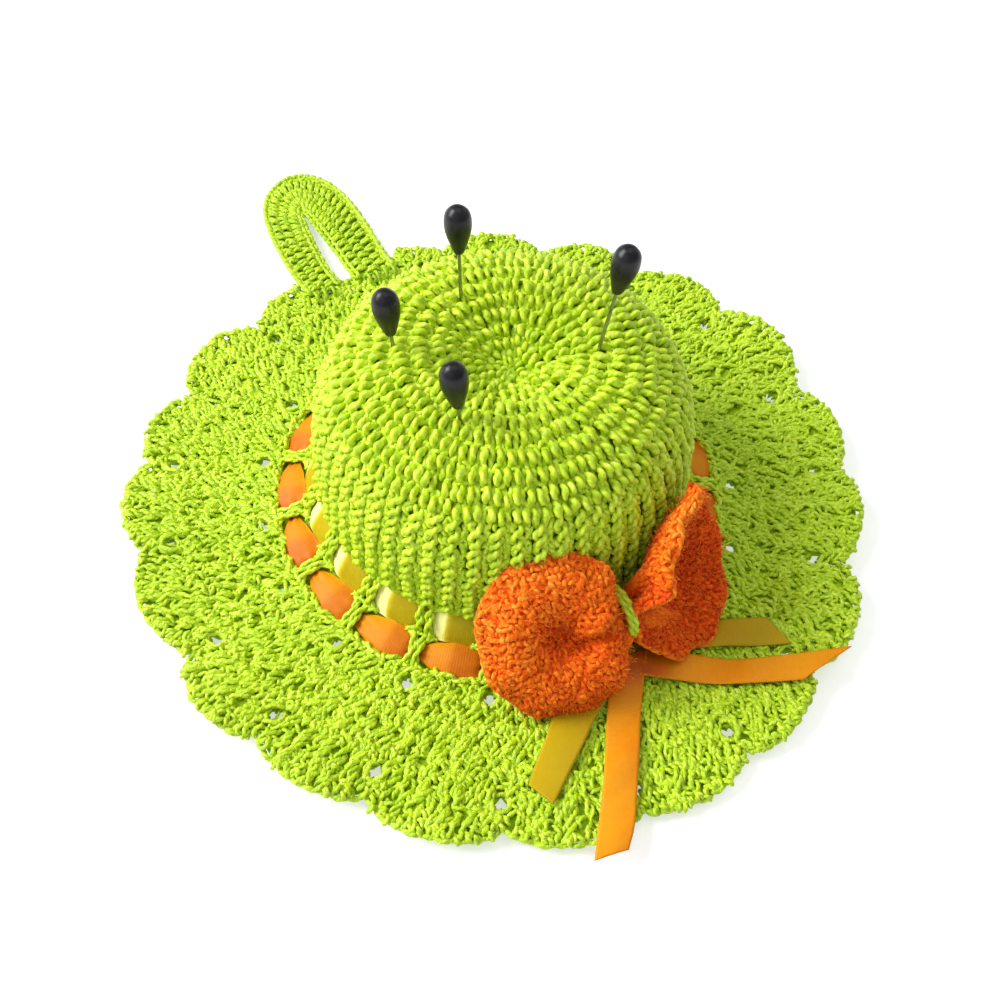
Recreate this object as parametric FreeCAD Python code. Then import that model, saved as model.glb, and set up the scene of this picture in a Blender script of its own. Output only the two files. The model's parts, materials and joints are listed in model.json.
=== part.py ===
import FreeCAD, Part
import os
from math import cos, sin, radians, degrees, hypot
from FreeCAD import Vector as V

# Pin cushion in the shape of a crocheted sun hat.
# Millimetres, +Z up. The origin is the centre of the crown at the plane the
# hat rests on. The bow sits on the -Y side, the hanging loop on the +Y side.
# Left is -X and right is +X. Angles are in degrees about +Z, from +X.

os.makedirs("parts", exist_ok=True)

ORIGIN = V(0, 0, 0)
X_AXIS = V(1, 0, 0)
Z_AXIS = V(0, 0, 1)

# ---- shared dimensions -----------------------------------------------------
GAP = 0.05                    # running gap between nested soft layers
SCALLOPS = 19                 # fans around the brim, and eyelets per round
PITCH = 360.0 / SCALLOPS
WINDOW_AZ = -136.7            # middle of the first ribbon window
CUT_Z = -1.0                  # foot and height of tools that cut right through
CUT_H = 8.0                   # the brim or the loop


# ---- helpers ---------------------------------------------------------------
def export(shape, name):
    solids = shape.Solids
    if not solids:
        raise RuntimeError("no solid in " + name)
    shape = solids[0] if len(solids) == 1 else Part.makeCompound(solids)
    shape.exportStep("parts/%s.step" % name)


def polar(radius, angle, z=0.0):
    return V(radius * cos(radians(angle)), radius * sin(radians(angle)), z)


def unit(vector):
    result = V(vector)
    result.normalize()
    return result


def left_of(direction):
    """The plan direction a quarter turn to the left, seen from above."""
    return V(-direction.y, direction.x, 0)


def cylinder(start, direction, radius, length):
    return Part.makeCylinder(radius, length, start, direction)


def prism(corners, height):
    """Polygon raised along Z."""
    return Part.Face(Part.makePolygon(corners + [corners[0]])).extrude(V(0, 0, height))


def line(start, end):
    """Straight edge between two (r, z) points."""
    return Part.LineSegment(V(start[0], 0, start[1]), V(end[0], 0, end[1])).toShape()


def spline(points):
    """Smooth edge through (r, z) points."""
    curve = Part.BSplineCurve()
    curve.interpolate([V(r, 0, z) for r, z in points])
    return curve.toShape()


def revolve_edges(edges):
    """Full turn about Z of a closed section made of edges."""
    return Part.Face(Part.Wire(edges)).revolve(ORIGIN, Z_AXIS, 360)


def revolve(points, start=0.0, end=360.0):
    """Solid of revolution about Z from closed (r, z) corners."""
    corners = [V(r, 0, z) for r, z in points]
    face = Part.Face(Part.makePolygon(corners + [corners[0]]))
    face.rotate(ORIGIN, Z_AXIS, start)
    return face.revolve(ORIGIN, Z_AXIS, end - start)


def cut_each(shape, tools):
    for tool in tools:
        shape = shape.cut(tool)
    return shape


def biggest(shape):
    return max(shape.Solids, key=lambda solid: solid.Volume)


# ---- base: crocheted circle, card disc and seam ----------------------------
BASE_R = 35.0
BASE_T = 1.3
BASE_FILLET = 0.4
BOARD_R = 32.3
BOARD_T = 0.8
BOARD_Z = BASE_T + GAP
FLOOR_Z = BOARD_Z + BOARD_T + GAP       # underside of the stuffing
SEAM_COUNT = 48
SEAM_YARN_R = 0.35
SEAM_HALF_ANGLE = 0.8
SEAM_INNER = (BASE_R + 0.55, 0.5)       # (r, z) of the ends of a stitch
SEAM_OUTER = (BASE_R + 1.9, 1.1)


def make_base_cover():
    disc = Part.makeCylinder(BASE_R, BASE_T)
    return disc.makeFillet(BASE_FILLET, disc.Edges[0:1])


def make_seam():
    """Slanted whip stitches around the edge of the base circle."""
    stitches = []
    for k in range(SEAM_COUNT):
        angle = 360.0 * k / SEAM_COUNT
        start = polar(SEAM_INNER[0], angle - SEAM_HALF_ANGLE, SEAM_INNER[1])
        end = polar(SEAM_OUTER[0], angle + SEAM_HALF_ANGLE, SEAM_OUTER[1])
        run = end - start
        stitch = cylinder(start, run, SEAM_YARN_R, run.Length)
        stitch = stitch.fuse([Part.makeSphere(SEAM_YARN_R, start),
                              Part.makeSphere(SEAM_YARN_R, end)])
        stitches.append(stitch.removeSplitter())
    return Part.makeCompound(stitches)


# ---- tuft thread: pulls the dimple down, knotted at both ends --------------
THREAD_R = 0.5
THREAD_TOP = 33.2
LOW_KNOT_R = 1.6
LOW_KNOT_H = 0.8
TOP_KNOT_R = 1.4
TOP_KNOT_H = 0.6
TOP_KNOT_Z = 32.95

thread_hole = Part.makeCylinder(THREAD_R + GAP, 40.0, V(0, 0, -1))
low_knot_pocket = Part.makeCylinder(LOW_KNOT_R + GAP, LOW_KNOT_H + GAP,
                                    V(0, 0, FLOOR_Z - 0.01))
top_knot_seat = Part.makeCylinder(TOP_KNOT_R + GAP, 3.0, V(0, 0, TOP_KNOT_Z - GAP))


def make_tuft():
    thread = Part.makeCylinder(THREAD_R, THREAD_TOP - BOARD_Z, V(0, 0, BOARD_Z))
    low_knot = Part.makeCylinder(LOW_KNOT_R, LOW_KNOT_H, V(0, 0, FLOOR_Z))
    top_knot = Part.makeCylinder(TOP_KNOT_R, TOP_KNOT_H, V(0, 0, TOP_KNOT_Z))
    return thread.fuse([low_knot, top_knot]).removeSplitter()


# ---- eyelet rounds and ribbon bands ----------------------------------------
EYE_T = 1.2                   # thickness of the eyelet posts
CHAIN_R, CHAIN_Z = 34.3, 5.0  # chain between the two rounds
UPPER = ((31.8, 9.85), (CHAIN_R - 0.05, CHAIN_Z + 0.1))   # (r, z) top, bottom
LOWER = ((CHAIN_R + 0.05, CHAIN_Z - 0.1), (39.5, 3.0))
WINDOW_OVERCUT = 0.6
RIBBON_T = 0.3                # satin ribbon
RIBBON_W = 5.6
BAND_INSET = 0.12             # band edge from the edge of its round
BAND_GAP_AZ = WINDOW_AZ + 2 * PITCH     # where the two ends of a band meet
BAND_HALF_GAP = 0.6           # degrees


def slant_section(top, bottom, depth_out, depth_in):
    """Corners of a sloping strip between two depths below the outer line."""
    dr, dz = bottom[0] - top[0], bottom[1] - top[1]
    length = hypot(dr, dz)
    normal_r, normal_z = -dz / length, dr / length      # outwards

    def sink(point, depth):
        return (point[0] - normal_r * depth, point[1] - normal_z * depth)

    return [sink(top, depth_out), sink(bottom, depth_out),
            sink(bottom, depth_in), sink(top, depth_in)]


def inset(top, bottom, from_top, from_bottom):
    """The outer line shortened at both ends."""
    dr, dz = bottom[0] - top[0], bottom[1] - top[1]
    length = hypot(dr, dz)

    def at(distance):
        return (top[0] + dr * distance / length, top[1] + dz * distance / length)

    return at(from_top), at(length - from_bottom)


def make_eyelet_round(outer_line, post_width, top_chain, bottom_chain):
    """Two chains joined by posts, with a window on each scallop angle."""
    ring = revolve(slant_section(*outer_line, 0.0, EYE_T))
    high, low = inset(*outer_line, top_chain, bottom_chain)
    mid_r = 0.5 * (high[0] + low[0])
    half_angle = 0.5 * PITCH - degrees(0.5 * post_width / mid_r)
    section = slant_section(high, low, -WINDOW_OVERCUT, EYE_T + WINDOW_OVERCUT)
    windows = []
    for k in range(SCALLOPS):
        angle = WINDOW_AZ + PITCH * k
        windows.append(revolve(section, angle - half_angle, angle + half_angle))
    return ring.cut(Part.makeCompound(windows))


def make_band(outer_line):
    """Ribbon just inside an eyelet round."""
    top, bottom = inset(*outer_line, BAND_INSET, BAND_INSET)
    section = slant_section(top, bottom, EYE_T + GAP, EYE_T + GAP + RIBBON_T)
    return revolve(section, BAND_GAP_AZ + BAND_HALF_GAP,
                   BAND_GAP_AZ + 360.0 - BAND_HALF_GAP)


# ---- crown and stuffing ----------------------------------------------------
CROWN_PROFILE = [             # outer surface of the crown (r, z), top to foot
    (0.0, 33.6), (3.0, 33.9), (7.0, 35.6), (11.0, 37.4), (15.0, 38.4),
    (19.0, 38.2), (23.0, 36.6), (26.5, 33.8), (29.2, 29.8), (30.8, 25.0),
    (31.4, 19.5), (31.4, 14.0), (31.75, 10.0)]
FABRIC_T = 1.7
STUFFING_STEP = 0.4           # straight drop below the foot of the crown


def offset_crown(distance):
    """Crown profile moved inwards: ends along Z and r, the rest along the normal."""
    points = CROWN_PROFILE
    top, foot = points[0], points[-1]
    moved = [(0.0, top[1] - distance)]
    for before, point, after in zip(points, points[1:], points[2:]):
        dr, dz = after[0] - before[0], after[1] - before[1]
        length = hypot(dr, dz)
        moved.append((point[0] + distance * dz / length,
                      point[1] - distance * dr / length))
    moved.append((foot[0] - distance, foot[1]))
    return moved


def make_crown():
    outer, inner = CROWN_PROFILE, offset_crown(FABRIC_T)
    return revolve_edges([spline(outer), line(outer[-1], inner[-1]),
                          spline(inner[::-1]), line(inner[0], outer[0])])


def make_stuffing():
    """Follows the inside of the crown, the yellow ribbon and the base."""
    core = offset_crown(FABRIC_T + GAP)
    depth = EYE_T + RIBBON_T + 3 * GAP
    slant_top, slant_foot = slant_section(*UPPER, depth, depth + 1.0)[:2]
    corners = [core[-1], (core[-1][0], core[-1][1] - STUFFING_STEP), slant_top,
               slant_foot, (slant_foot[0], FLOOR_Z), (0, FLOOR_Z), core[0]]
    sides = [line(start, end) for start, end in zip(corners, corners[1:])]
    return revolve_edges([spline(core)] + sides)


# ---- pins ------------------------------------------------------------------
PIN_R = 0.3
PIN_GAP = 0.05
PIN_LEN = 28.0                # shaft below the head
PIN_IN_HEAD = 3.0             # shaft inside the head
POINT_LEN = 2.2
POINT_R = 0.03
CHANNEL_END = 0.6             # channel beyond the tip of a pin pushed fully in
CHANNEL_OUT = 6.0             # channel outside the entry point
HEAD_PROFILE = [              # teardrop (r, z), widest above the middle
    (0.62, 0.0), (0.95, 0.5), (1.45, 2.2), (1.92, 4.3),
    (2.10, 6.2), (1.85, 8.0), (1.15, 9.05), (0.0, 9.4)]
# entry point on the crown, direction out of the crown, visible shaft,
# distance the pin can be pushed further in
PINS = {
    "pin_1": (V(0.33, 14.08, 38.21), V(-0.0450, 0.0310, 0.9985), 10.3, 9.8),
    "pin_2": (V(12.94, -6.65, 38.34), V(0.0950, -0.0560, 0.9938), 12.5, 12.0),
    "pin_3": (V(-15.08, 9.95, 38.30), V(-0.0871, 0.0599, 0.9944), 4.1, 3.5),
    "pin_4": (V(-14.12, -7.41, 38.45), V(-0.0938, 0.0645, 0.9935), 3.4, 2.8),
}


def make_pin_shaft(tip, direction):
    shaft = cylinder(tip + direction * POINT_LEN, direction, PIN_R,
                     PIN_LEN - POINT_LEN + PIN_IN_HEAD)
    point = Part.makeCone(POINT_R, PIN_R, POINT_LEN, tip, direction)
    return shaft.fuse(point).removeSplitter()


def make_pin_head(foot, direction):
    head = revolve_edges([line((0, 0), HEAD_PROFILE[0]), spline(HEAD_PROFILE),
                          line(HEAD_PROFILE[-1], (0, 0))])
    head = head.cut(Part.makeCylinder(PIN_R, PIN_IN_HEAD))
    head.Placement = FreeCAD.Placement(foot, FreeCAD.Rotation(Z_AXIS, direction))
    return head


def make_pin(entry, direction, visible, push):
    """Shaft, head, and the channel the pin slides in."""
    direction = unit(direction)
    head_foot = entry + direction * visible
    tip = head_foot - direction * PIN_LEN
    extra = push + CHANNEL_END
    channel = cylinder(tip - direction * extra, direction, PIN_R + PIN_GAP,
                       PIN_LEN + extra - visible + CHANNEL_OUT)
    return make_pin_shaft(tip, direction), make_pin_head(head_foot, direction), channel


# ---- hanging loop ----------------------------------------------------------
LOOP_AZ = 85.0                # direction of the hanging loop
LOOP_R0 = 62.0                # radius of the loop's local origin
LOOP_T = 2.2
BAR_R = 0.5 * LOOP_T          # round bar along the hinge line
HINGE_V = -0.8                # hinge line, measured from LOOP_R0
HINGE_Z = 1.4
BAR_U0, BAR_U1 = -9.8, 8.8    # ends of the bar
LOOP_EYE = [                  # (u, v) points around the opening
    (-1.2, 19.4), (-2.5, 11.0), (-3.1, 4.0), (-3.0, -3.0),
    (0.4, -3.0), (0.6, 4.0), (0.5, 11.0)]
BRIM_TOP = 2.6
STITCH_U = (-8.9, -7.1, -5.3, 2.6, 4.4, 6.2, 8.0)
STITCH_V = -4.7
STITCH_Z = BRIM_TOP + 0.02

v_axis = polar(1.0, LOOP_AZ)
u_axis = V(v_axis.y, -v_axis.x, 0)


def loop_point(u, v, z=0.0):
    """Loop frame: u along the brim edge, towards +X; v away from the hat."""
    return v_axis * (LOOP_R0 + v) + u_axis * u + V(0, 0, z)


def loop_box(u0, u1, v0, v1, z, height):
    return prism([loop_point(u0, v0, z), loop_point(u1, v0, z),
                  loop_point(u1, v1, z), loop_point(u0, v1, z)], height)


def make_loop():
    z = HINGE_Z - BAR_R
    root_left, root_right = loop_point(BAR_U0, HINGE_V, z), loop_point(BAR_U1, HINGE_V, z)
    arc_left, arc_right = loop_point(-8.9, 18.6, z), loop_point(BAR_U1, 18.0, z)
    outline = Part.Wire([
        Part.LineSegment(root_left, root_right).toShape(),
        Part.LineSegment(root_right, arc_right).toShape(),
        Part.Arc(arc_right, loop_point(1.2, 29.3, z), arc_left).toShape(),
        Part.LineSegment(arc_left, root_left).toShape()])
    loop = Part.Face(outline).extrude(V(0, 0, LOOP_T))
    loop = loop.fuse(cylinder(loop_point(BAR_U0, HINGE_V, HINGE_Z), u_axis,
                              BAR_R, BAR_U1 - BAR_U0))
    eye = Part.BSplineCurve()
    eye.interpolate([loop_point(u, v, CUT_Z) for u, v in LOOP_EYE], PeriodicFlag=True)
    eye_tool = Part.Face(Part.Wire([eye.toShape()])).extrude(V(0, 0, CUT_H))
    return loop.cut(eye_tool).removeSplitter()


def make_loop_stitches():
    """Half rings standing on the brim beside the root of the loop."""
    stitches = []
    for u in STITCH_U:
        ring = Part.makeTorus(1.15, 0.33, loop_point(u, STITCH_V, STITCH_Z), u_axis)
        above = loop_box(u - 2, u + 2, -8, 0, STITCH_Z, 3.98)
        stitches.append(ring.common(above))
    return Part.makeCompound(stitches)


# ---- brim ------------------------------------------------------------------
# Scallop outline: notch angle, notch radius, radius of the tip that follows
SCALLOP_TABLE = [
    (10.5, 61.3, 65.2), (28.0, 60.9, 66.0), (47.0, 59.6, 65.6), (66.0, 60.4, 66.0),
    (86.0, 60.0, 66.2), (106.5, 58.6, 65.0), (126.0, 59.2, 64.6), (142.5, 61.4, 65.6),
    (159.5, 61.4, 65.0), (180.5, 60.0, 65.6), (198.0, 61.3, 65.5), (216.5, 61.9, 67.0),
    (236.0, 63.6, 67.8), (256.0, 64.0, 67.2), (273.5, 63.2, 66.4), (291.0, 61.6, 66.0),
    (311.5, 60.3, 64.8), (330.5, 61.2, 65.0), (349.5, 60.2, 66.0)]
BRIM_IN = 39.6
BRIM_BLANK_R = 80.0           # beyond every scallop tip
BRIM_SECTION = [
    (BRIM_IN, 1.1), (BRIM_IN, 2.95), (44.5, BRIM_TOP + 0.05), (52.0, BRIM_TOP),
    (BRIM_BLANK_R, BRIM_TOP), (BRIM_BLANK_R, 0.0), (43.5, 0.0)]
BAR_END_GAP = 0.6             # between the ends of the bar and the brim
BAR_SIDE_GAP = 0.4
POST_HOLE_R = 0.9             # small holes in line with the eyelet posts
POST_HOLE_AT = 42.1
NOTCH_HOLE_R = 0.8            # small holes inside the notches
NOTCH_HOLE_IN = 3.6
LOOP_CLEAR_ANGLE = 12         # no notch hole this close to the loop


def make_brim():
    edges = []
    following = SCALLOP_TABLE[1:] + SCALLOP_TABLE[:1]
    for (angle, notch_r, tip_r), (next_angle, next_r, _) in zip(SCALLOP_TABLE, following):
        if next_angle < angle:
            next_angle += 360.0
        edges.append(Part.Arc(polar(notch_r, angle, CUT_Z),
                              polar(tip_r, 0.5 * (angle + next_angle), CUT_Z),
                              polar(next_r, next_angle, CUT_Z)).toShape())
    outline = Part.Face(Part.Wire(edges)).extrude(V(0, 0, CUT_H))
    brim = revolve(BRIM_SECTION).common(outline)

    # room for the bar of the loop, and for the foot of the loop's eye
    tools = [loop_box(BAR_U0 - BAR_END_GAP, BAR_U1 + BAR_END_GAP,
                      HINGE_V - BAR_R - BAR_SIDE_GAP, 14, CUT_Z, CUT_H),
             loop_box(-2.9, 0.5, -4.2, 4, CUT_Z, CUT_H)]
    for k in range(SCALLOPS):
        angle = WINDOW_AZ + PITCH * (k + 0.5)
        tools.append(Part.makeCylinder(POST_HOLE_R, CUT_H,
                                       polar(POST_HOLE_AT, angle, CUT_Z)))
    for angle, notch_r, _ in SCALLOP_TABLE:
        if abs(angle - LOOP_AZ) > LOOP_CLEAR_ANGLE:
            tools.append(Part.makeCylinder(NOTCH_HOLE_R, CUT_H,
                                           polar(notch_r - NOTCH_HOLE_IN, angle, CUT_Z)))
    return cut_each(brim, tools)


# ---- ribbon knots and tails ------------------------------------------------
KNOT_C = V(-1.2, -41.6, 0)    # plan centre of both knots
HINGE_GAP = 0.2               # half gap at the root of each ribbon tail
STUB_LEN = 2.5                # part of the stub that runs with the tail
STUB_NARROWING = 0.9          # each side, where the stub meets the knot
YELLOW_KNOT = (5.0, 3.0, 0.34, 2.96)    # size in x, y, z and foot height
ORANGE_KNOT = (5.6, 3.6, 1.2, 3.40)
KNOT_ROOM = (5.8, 3.8, 1.5, 3.35)       # cleared from the bow above the knots
KNOT_FILLET = 0.4
# Hinge point at mid thickness, plan direction, rise angle, left and right
# edge lengths looking along the tail (the difference is the slanted cut)
TAILS = {
    "yellow_tail_left": (V(-18.6, -47.0, 3.11), V(-0.900, -0.436, 0), 0.5, 10.4, 12.6),
    "yellow_tail_right": (V(12.3, -44.7, 3.11), V(0.866, -0.500, 0), 0.5, 12.6, 9.6),
    "orange_tail_front": (V(-10.8, -50.4, 3.55), V(-0.675, -0.738, 0), 0.8, 20.6, 22.4),
    "orange_tail_right": (V(6.9, -48.7, 3.55), V(0.830, -0.558, 0), 4.0, 25.2, 17.6),
}


def strip(start, direction, left_len, right_len):
    """Flat ribbon from start, which is at mid thickness."""
    side = left_of(direction) * (0.5 * RIBBON_W)
    start = start - V(0, 0, 0.5 * RIBBON_T)
    return prism([start + side, start + side + direction * left_len,
                  start - side + direction * right_len, start - side], RIBBON_T)


def make_tail(hinge, direction, rise, left_len, right_len):
    direction = unit(direction)
    tail = strip(hinge + direction * HINGE_GAP, direction,
                 left_len - HINGE_GAP, right_len - HINGE_GAP)
    tail.rotate(hinge, left_of(direction) * -1.0, rise)
    return tail


def make_stub(hinge, direction):
    """Fixed ribbon from the knot to the hinge of a tail."""
    direction = unit(direction)
    bend = hinge - direction * STUB_LEN
    straight_len = STUB_LEN - HINGE_GAP
    straight = strip(bend, direction, straight_len, straight_len)
    from_knot = unit(V(hinge.x - KNOT_C.x, hinge.y - KNOT_C.y, 0))
    bend_side = left_of(direction) * (0.5 * RIBBON_W)
    root_side = left_of(from_knot) * (0.5 * RIBBON_W - STUB_NARROWING)
    foot_z = hinge.z - 0.5 * RIBBON_T
    root = V(KNOT_C.x, KNOT_C.y, foot_z)
    bend = V(bend.x, bend.y, foot_z)
    taper = prism([root + root_side, bend + bend_side,
                   bend - bend_side, root - root_side], RIBBON_T)
    return straight.fuse(taper)


def knot_box(size_x, size_y, size_z, foot_z):
    return Part.makeBox(size_x, size_y, size_z,
                        V(KNOT_C.x - 0.5 * size_x, KNOT_C.y - 0.5 * size_y, foot_z))


def make_knot(colour, pad):
    """The two stubs of one ribbon, joined by a low pad."""
    first, second = [make_stub(*row[:2]) for name, row in TAILS.items()
                     if name.startswith(colour)]
    return first.fuse(second).fuse(pad).removeSplitter()


# ---- bow -------------------------------------------------------------------
# Keep-out (r, z): crown, eyelet rounds, brim and the ribbon ends under the bow
keep_out = revolve([
    (0.0, 39.0), (24.0, 39.0), (27.3, 34.2), (29.8, 30.0), (31.3, 25.0),
    (31.75, 19.0), (31.75, 13.0), (32.05, 10.0), (34.7, 5.25), (39.6, 4.1),
    (75.0, 4.1), (75.0, -1.0), (0.0, -1.0)])

LOBE_R = 12.8
LOBE_PROFILE = [              # cupped disc (r, z) with a thick rolled rim
    (0.0, -1.2), (4.0, -1.1), (8.0, -0.4), (LOBE_R - 1.0, 1.6),
    (LOBE_R, 3.0), (LOBE_R - 0.9, 4.0), (LOBE_R - 2.4, 3.6),
    (8.0, 2.2), (4.5, 1.5), (0.0, 1.3)]
MIDDLE_GAP = 0.03             # from the middle of the wrap to each lobe
# Neck stations: x away from the middle, y and z offsets, radius
NECK = [(MIDDLE_GAP, 0.0, 0.0, 3.55), (1.7, 0.0, 0.0, 3.55), (6.5, -0.3, 1.2, 5.0)]
# Centre, outward normal of the disc, side in x
LOBES = {
    "bow_lobe_left": (V(-15.0, -36.2, 15.0), V(-0.38, -0.72, 0.58), -1.0),
    "bow_lobe_right": (V(9.9, -36.1, 16.4), V(0.355, -0.882, 0.31), 1.0),
}
WRAP_C = V(-0.6, -36.9, 12.0)
WRAP_R = 4.8
WRAP_W = 2.8
WRAP_GAP = 0.1
BOW_STITCHES = [(-104.0, 16.0), (-104.0, 12.6), (-75.0, 16.0), (-75.0, 12.6)]  # angle, z
BOW_STITCH_AT = 31.9
BOW_YARN_R = 0.3
BOW_YARN_HOLE_R = 0.36


def wrap_cylinder(half_length, radius):
    """Cylinder along X, centred in the wrap."""
    return cylinder(WRAP_C - V(half_length, 0, 0), X_AXIS, radius, 2 * half_length)


def make_wrap():
    """Two turns of yarn around the middle of the bow, joined by a web."""
    turns = [Part.makeTorus(4.2, 0.58, WRAP_C + V(dx, 0, 0), X_AXIS)
             for dx in (-0.25 * WRAP_W, 0.25 * WRAP_W)]
    web = wrap_cylinder(0.25 * WRAP_W, 4.5).cut(wrap_cylinder(WRAP_W, 3.95))
    return turns[0].fuse(turns[1]).fuse(web).removeSplitter().cut(keep_out)


def bow_rings(yarn_r):
    """Sewing rings that hold the backs of the lobes to the crown wall."""
    return [Part.makeTorus(1.0, yarn_r, polar(BOW_STITCH_AT, angle, z), Z_AXIS)
            for angle, z in BOW_STITCHES]


def make_lobe(centre, normal, side):
    disc = revolve(LOBE_PROFILE)
    disc.Placement = FreeCAD.Placement(centre, FreeCAD.Rotation(Z_AXIS, unit(normal)))
    rings = []
    for x, y, z, radius in NECK:
        circle = Part.Circle(WRAP_C + V(side * x, y, z), V(side, 0, 0), radius)
        rings.append(Part.Wire([circle.toShape()]))
    neck = Part.makeLoft(rings, True, False)
    # each disc stays on its own side of the middle of the wrap
    half_x = MIDDLE_GAP if side > 0 else -60 - MIDDLE_GAP
    half = Part.makeBox(60, 80, 60, V(WRAP_C.x + half_x, -80, -5))
    lobe = disc.common(half).cut(keep_out).fuse(neck.cut(keep_out))
    # groove for the wrap, holes for the stitches, room for the knots
    groove = wrap_cylinder(0.5 * WRAP_W + WRAP_GAP, WRAP_R + WRAP_GAP)
    groove = groove.cut(wrap_cylinder(2.5, 3.6))
    lobe = lobe.cut(groove).cut(Part.makeCompound(bow_rings(BOW_YARN_HOLE_R)))
    return biggest(biggest(lobe).cut(knot_box(*KNOT_ROOM)))


# ---- build and write -------------------------------------------------------
channels = []
for name, row in PINS.items():
    shaft, head, channel = make_pin(*row)
    channels.append(channel)
    export(shaft, name + "_shaft")
    export(head, name + "_head")

export(cut_each(make_crown(), [thread_hole, top_knot_seat] + channels), "crown_cover")
export(cut_each(make_stuffing(), [thread_hole, low_knot_pocket] + channels), "stuffing")
export(make_base_cover(), "base_cover")
export(Part.makeCylinder(BOARD_R, BOARD_T, V(0, 0, BOARD_Z)).cut(thread_hole),
       "base_stiffener")
export(make_seam(), "base_seam_stitches")
export(make_tuft(), "tuft_thread")

export(make_eyelet_round(UPPER, post_width=3.4, top_chain=0.7, bottom_chain=0.55),
       "upper_eyelet_round")
export(make_eyelet_round(LOWER, post_width=3.0, top_chain=0.55, bottom_chain=0.6),
       "lower_eyelet_round")
export(make_band(UPPER), "yellow_ribbon_band")
export(make_band(LOWER), "orange_ribbon_band")

export(make_brim(), "brim")
export(make_loop(), "hanging_loop")
export(make_loop_stitches(), "loop_stitches")

for name, row in LOBES.items():
    export(make_lobe(*row), name)
export(make_wrap(), "bow_wrap")
export(Part.makeCompound([ring.cut(keep_out) for ring in bow_rings(BOW_YARN_R)]),
       "bow_stitches")

orange_pad = knot_box(*ORANGE_KNOT)
orange_pad = orange_pad.makeFillet(KNOT_FILLET, orange_pad.Edges)
export(make_knot("yellow", knot_box(*YELLOW_KNOT)), "yellow_ribbon_knot")
export(make_knot("orange", orange_pad), "orange_ribbon_knot")
for name, row in TAILS.items():
    export(make_tail(*row), name)
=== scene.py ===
"""A crocheted sun-hat pin cushion with two woven ribbons, a bow and four pins.

The hat lies on z = 0 with the axis of its crown on z. The bow and the ribbon
tails are on the -y side and the hanging loop is on the +y side. Shapes are
worked out in millimetres and scaled to metres when a mesh is made.
"""
import json
import math

import bpy
import bmesh
import numpy as np
from mathutils import Matrix, Vector


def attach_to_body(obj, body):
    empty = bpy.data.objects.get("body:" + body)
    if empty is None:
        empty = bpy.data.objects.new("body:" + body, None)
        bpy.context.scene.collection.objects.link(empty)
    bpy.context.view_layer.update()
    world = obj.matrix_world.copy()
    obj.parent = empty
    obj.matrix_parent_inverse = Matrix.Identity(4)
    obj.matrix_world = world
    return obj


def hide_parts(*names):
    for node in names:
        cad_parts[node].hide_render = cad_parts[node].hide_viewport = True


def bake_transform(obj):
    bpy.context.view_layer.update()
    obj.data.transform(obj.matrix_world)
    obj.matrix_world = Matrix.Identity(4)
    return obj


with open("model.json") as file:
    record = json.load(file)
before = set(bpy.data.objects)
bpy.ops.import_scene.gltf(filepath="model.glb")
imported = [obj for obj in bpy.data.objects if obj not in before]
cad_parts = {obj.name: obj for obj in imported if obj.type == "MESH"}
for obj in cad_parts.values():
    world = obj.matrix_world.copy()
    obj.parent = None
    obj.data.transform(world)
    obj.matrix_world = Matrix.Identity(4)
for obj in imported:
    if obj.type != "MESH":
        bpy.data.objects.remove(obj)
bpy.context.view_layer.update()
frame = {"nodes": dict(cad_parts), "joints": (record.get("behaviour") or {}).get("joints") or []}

RNG = np.random.default_rng(1907)
PI = math.pi
TAU = 2 * PI
MM = 0.001
Z_UP = np.array([0, 0, 1.0])
VIEW_RIGHT = np.array([0.823, -0.566, 0.047])   # to the right as the camera sees it

# ------------------------------------------------------------ main dimensions
SCALLOPS = 19                       # also the number of ribbon windows and posts
WINDOW_PITCH = TAU / SCALLOPS
WINDOW_ANGLES = math.radians(-136.7) + np.arange(SCALLOPS) * WINDOW_PITCH
POST_ANGLES = WINDOW_ANGLES + WINDOW_PITCH / 2
RIBS = 3 * SCALLOPS                 # ribs of the crown wall, one on every post
WALL_ROWS = 6
ARC_WALL_TOP = 31.6                 # arc length where the ribbed wall begins

# Crown outline from the top centre outwards and down: (radius, z). All but the
# last two points lie on a smooth curve, the last two on straight lines.
CROWN_PROFILE = [
    (0.0, 33.6), (3.0, 33.9), (7.0, 35.6), (11.0, 37.4), (15.0, 38.4),
    (19.0, 38.2), (23.0, 36.6), (26.5, 33.8), (29.2, 29.8), (30.8, 25.0),
    (31.4, 19.5), (31.4, 14.0), (31.8, 9.7), (34.3, 5.0), (39.5, 3.0)]
CURVE_POINTS = 1500
STRAIGHT_POINTS = 119

# Brim outline: (angle of a notch in degrees, notch radius, tip radius of the
# scallop that follows it).
SCALLOP_TABLE = [
    (10.5, 61.3, 65.2), (28.0, 60.9, 66.0), (47.0, 59.6, 65.6), (66.0, 60.2, 64.0),
    (86.0, 58.4, 63.6), (106.5, 58.6, 65.0), (126.0, 59.2, 64.6), (142.5, 61.6, 65.8),
    (159.5, 61.4, 65.2), (180.5, 60.0, 65.6), (198.0, 61.3, 65.5), (216.5, 61.9, 67.2),
    (236.0, 63.6, 67.6), (256.0, 64.0, 67.0), (273.5, 63.2, 66.4), (291.0, 61.6, 66.2),
    (311.5, 60.3, 64.8), (330.5, 61.2, 65.0), (349.5, 60.2, 66.2)]
BRIM_Z = 2.35
LOOP_DEGREES = 85.0                 # direction of the hanging loop


# ---------------------------------------------------------------- mesh tools
def quads(index):
    """Quads between neighbours on the last two axes of an index array."""
    return np.stack([index[..., :-1, :-1], index[..., :-1, 1:],
                     index[..., 1:, 1:], index[..., 1:, :-1]], -1).reshape(-1, 4)


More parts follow.
